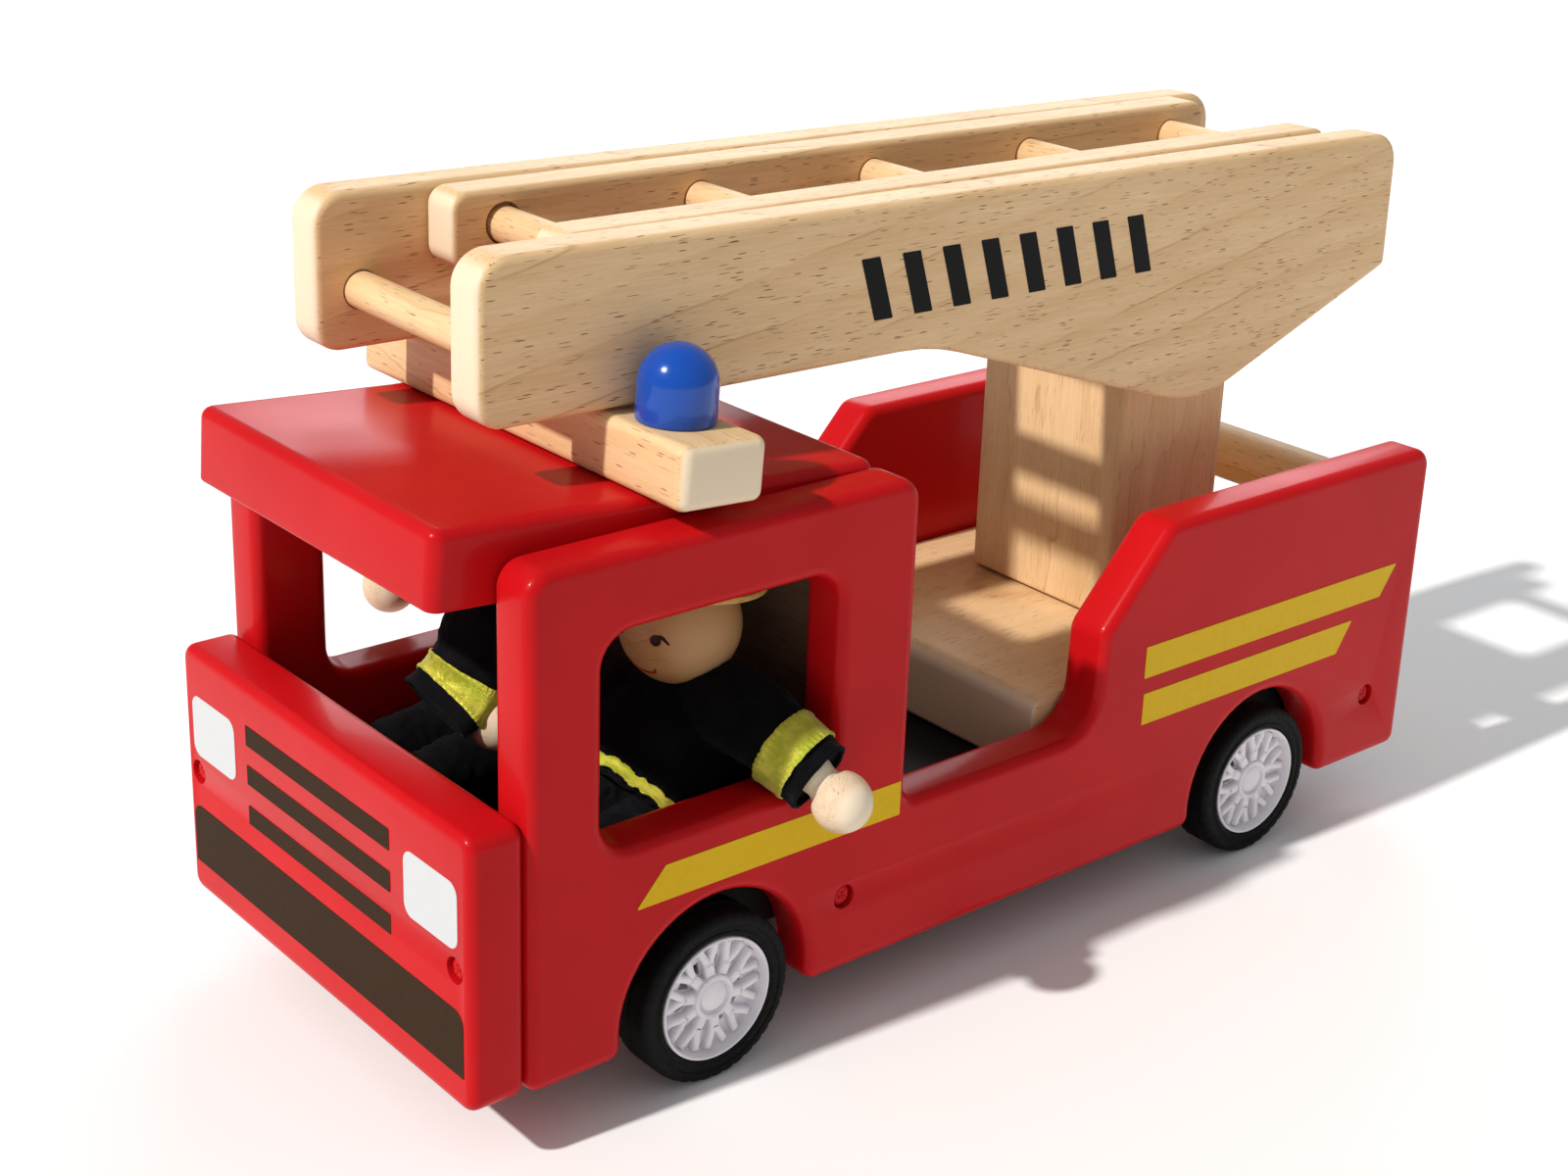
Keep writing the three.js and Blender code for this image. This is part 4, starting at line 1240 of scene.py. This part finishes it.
def head_and_hat(name, facts, seed):
    # The head's wood is a warmer, darker brown than the hands'. Part of that darkness is painted shade for
    # the dark inside of the cab.
    shade_darkened_head_wood = wood(f"{name}_wood", "Y", (0.55, 0.29, 0.115), (0.38, 0.18, 0.06), (0.52, 0.31, 0.14),
                     seed, 2.2, turn=(0.3, 0.4, 0.5), small=1.7)
    hat_wood = wood(f"{name}_hat_wood", "X", (0.66, 0.46, 0.13), (0.50, 0.31, 0.07), (0.62, 0.44, 0.14),
                    seed + 2)
    head = BODY @ Matrix.Translation(facts["head"])
    stand_in(f"{name}_head", head_form(), head, shade_darkened_head_wood)
    hat = head @ turned_by(-HAT_TILT, "Y")
    stand_in(f"{name}_hat", hat_form(), hat, hat_wood)
    face(name, facts)


def doll(name, facts, seed):
    head_and_hat(name, facts, seed)
    trunk = Tube(facts["trunk"], TRUNK_SECTIONS, (1, 0, 0))
    arms = {side: Tube(arm["path"], arm["sections"], arm["up"]) for side, arm in facts["arms"].items()}
    suit = suit_mesh(facts, trunk, arms, seed * 3.1)
    fine = stand_in(f"{name}_suit", form_of(suit), BODY, BLACK_CLOTH, smooth=70)
    skin = BVHTree.FromPolygons([v.co for v in suit.vertices], [tuple(p.vertices) for p in suit.polygons])
    ribbon(f"{name}_hem_ribbon", trunk, trunk.length - 2.8, trunk.length + 0.2, skin, seed + 3, 1.1)
    hand_wood = wood(f"{name}_hand_wood", "Y", (0.82, 0.66, 0.47), (0.66, 0.46, 0.28), (0.85, 0.72, 0.54),
                     seed + 1, 2.0, turn=(0.8, 0.2, 0.3), small=1.7)
    for side, arm in arms.items():
        ribbon(f"{name}_{side}_ribbon", arm, arm.length - 11, arm.length - 2, skin, seed + 4)
        cuff = arm.shell(arm.length - 2.6, arm.length + 2.6, CUFF, 96, frayed)
        piece(f"{name}_{side}_cuff", "root", cuff, BODY, BLACK_CLOTH, smooth=60)
        hand = Vector(facts["arms"][side]["hand"])
        wrist = Vector(facts["arms"][side].get("wrist", arm.path[-1].lerp(hand, 0.1)))
        form = hand_form((hand - wrist).length + 1.5)
        stand_in(f"{name}_{side}_hand", form, BODY @ towards(wrist, hand), hand_wood)


side_panels()
front_panel()
roof_and_bar()
inner_boards()
screws()
films()
wheels()
turntable()
outer_ladder()
inner_ladder()
beam_bars()
for number, (doll_name, doll_facts) in enumerate(DOLLS.items()):
    doll(doll_name, doll_facts, 40 + 10 * number)

# ---- Frame nodes that keep their shape ----


def repaint(node, material):
    """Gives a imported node, which keeps its own mesh, a material made here."""
    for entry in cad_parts[node].material_slots:
        entry.material = material


hidden_wood = plain_wood("hidden_wood", "Y", 30)
for node in ("front_axle_block", "rear_axle_block", "ladder_pivot_dowel", "turntable_post"):
    repaint(node, hidden_wood)
for node in ("front_axle", "rear_axle", "retaining_washer", "retaining_screw"):
    repaint(node, STEEL)
repaint("turntable_washer", BLACK_PAINT)

# ---- Camera, floor and light ----

CAMERA_AT = Vector((0.44857, 0.49337, 0.35802))
CAMERA_TURN = [math.radians(a) for a in (69.8294, -1.7824, 140.614)]
SUN_FROM = (0.730, -0.051, 0.682)
FLOOR_HALF = 6.0


def camera():
    data = bpy.data.cameras.new("camera")
    data.sensor_width = 36
    data.lens = 55.28
    data.shift_x = 0.01137
    data.shift_y = -0.04821
    data.clip_start = 0.01
    data.clip_end = 50
    eye = bpy.data.objects.new("camera", data)
    eye.location = CAMERA_AT
    eye.rotation_euler = CAMERA_TURN
    bpy.context.collection.objects.link(eye)
    bpy.context.scene.camera = eye


def area_light(name, at, target, width, height, watts, colour):
    data = bpy.data.lights.new(name, "AREA")
    data.shape = "RECTANGLE"
    data.size, data.size_y = width, height
    data.energy = watts
    data.color = colour
    lamp = bpy.data.objects.new(name, data)
    lamp.location = at
    lamp.rotation_euler = (Vector(target) - Vector(at)).to_track_quat("-Z", "Y").to_euler()
    bpy.context.collection.objects.link(lamp)


def sun(name, direction, strength, colour):
    data = bpy.data.lights.new(name, "SUN")
    data.energy = strength
    data.angle = math.radians(2)
    data.color = colour
    lamp = bpy.data.objects.new(name, data)
    lamp.rotation_euler = Vector(direction).to_track_quat("Z", "Y").to_euler()
    bpy.context.collection.objects.link(lamp)


def studio():
    mesh = bpy.data.meshes.new("floor")
    corners = [(x * FLOOR_HALF, y * FLOOR_HALF, 0) for x, y in ((-1, -1), (1, -1), (1, 1), (-1, 1))]
    mesh.from_pydata(corners, [], [(0, 1, 2, 3)])
    floor = bpy.data.objects.new("floor", mesh)
    bpy.context.collection.objects.link(floor)
    s = Shader("floor_paper", Roughness=0.9)
    tone = s.spread(s.noise(s.place(), 3.0, 3), 0.3, 0.7)
    mesh.materials.append(s.set(Base_Color=s.mix(tone, rgb(0.94, 0.94, 0.94), rgb(0.92, 0.92, 0.92))))

    world = bpy.data.worlds.new("studio")
    bpy.context.scene.world = world
    world.use_nodes = True
    world.node_tree.nodes["Background"].inputs["Color"].default_value = (0.96, 0.98, 1.0, 1)
    world.node_tree.nodes["Background"].inputs["Strength"].default_value = 0.38
    sun("key", SUN_FROM, 3.4, (1.0, 0.97, 0.93))
    area_light("glow", (-1.35, -1.5, 1.1), (0, 0, 0.08), 1.4, 1.0, 18, (0.94, 0.97, 1.0))
    bpy.context.scene.view_settings.view_transform = "Standard"


camera()
studio()
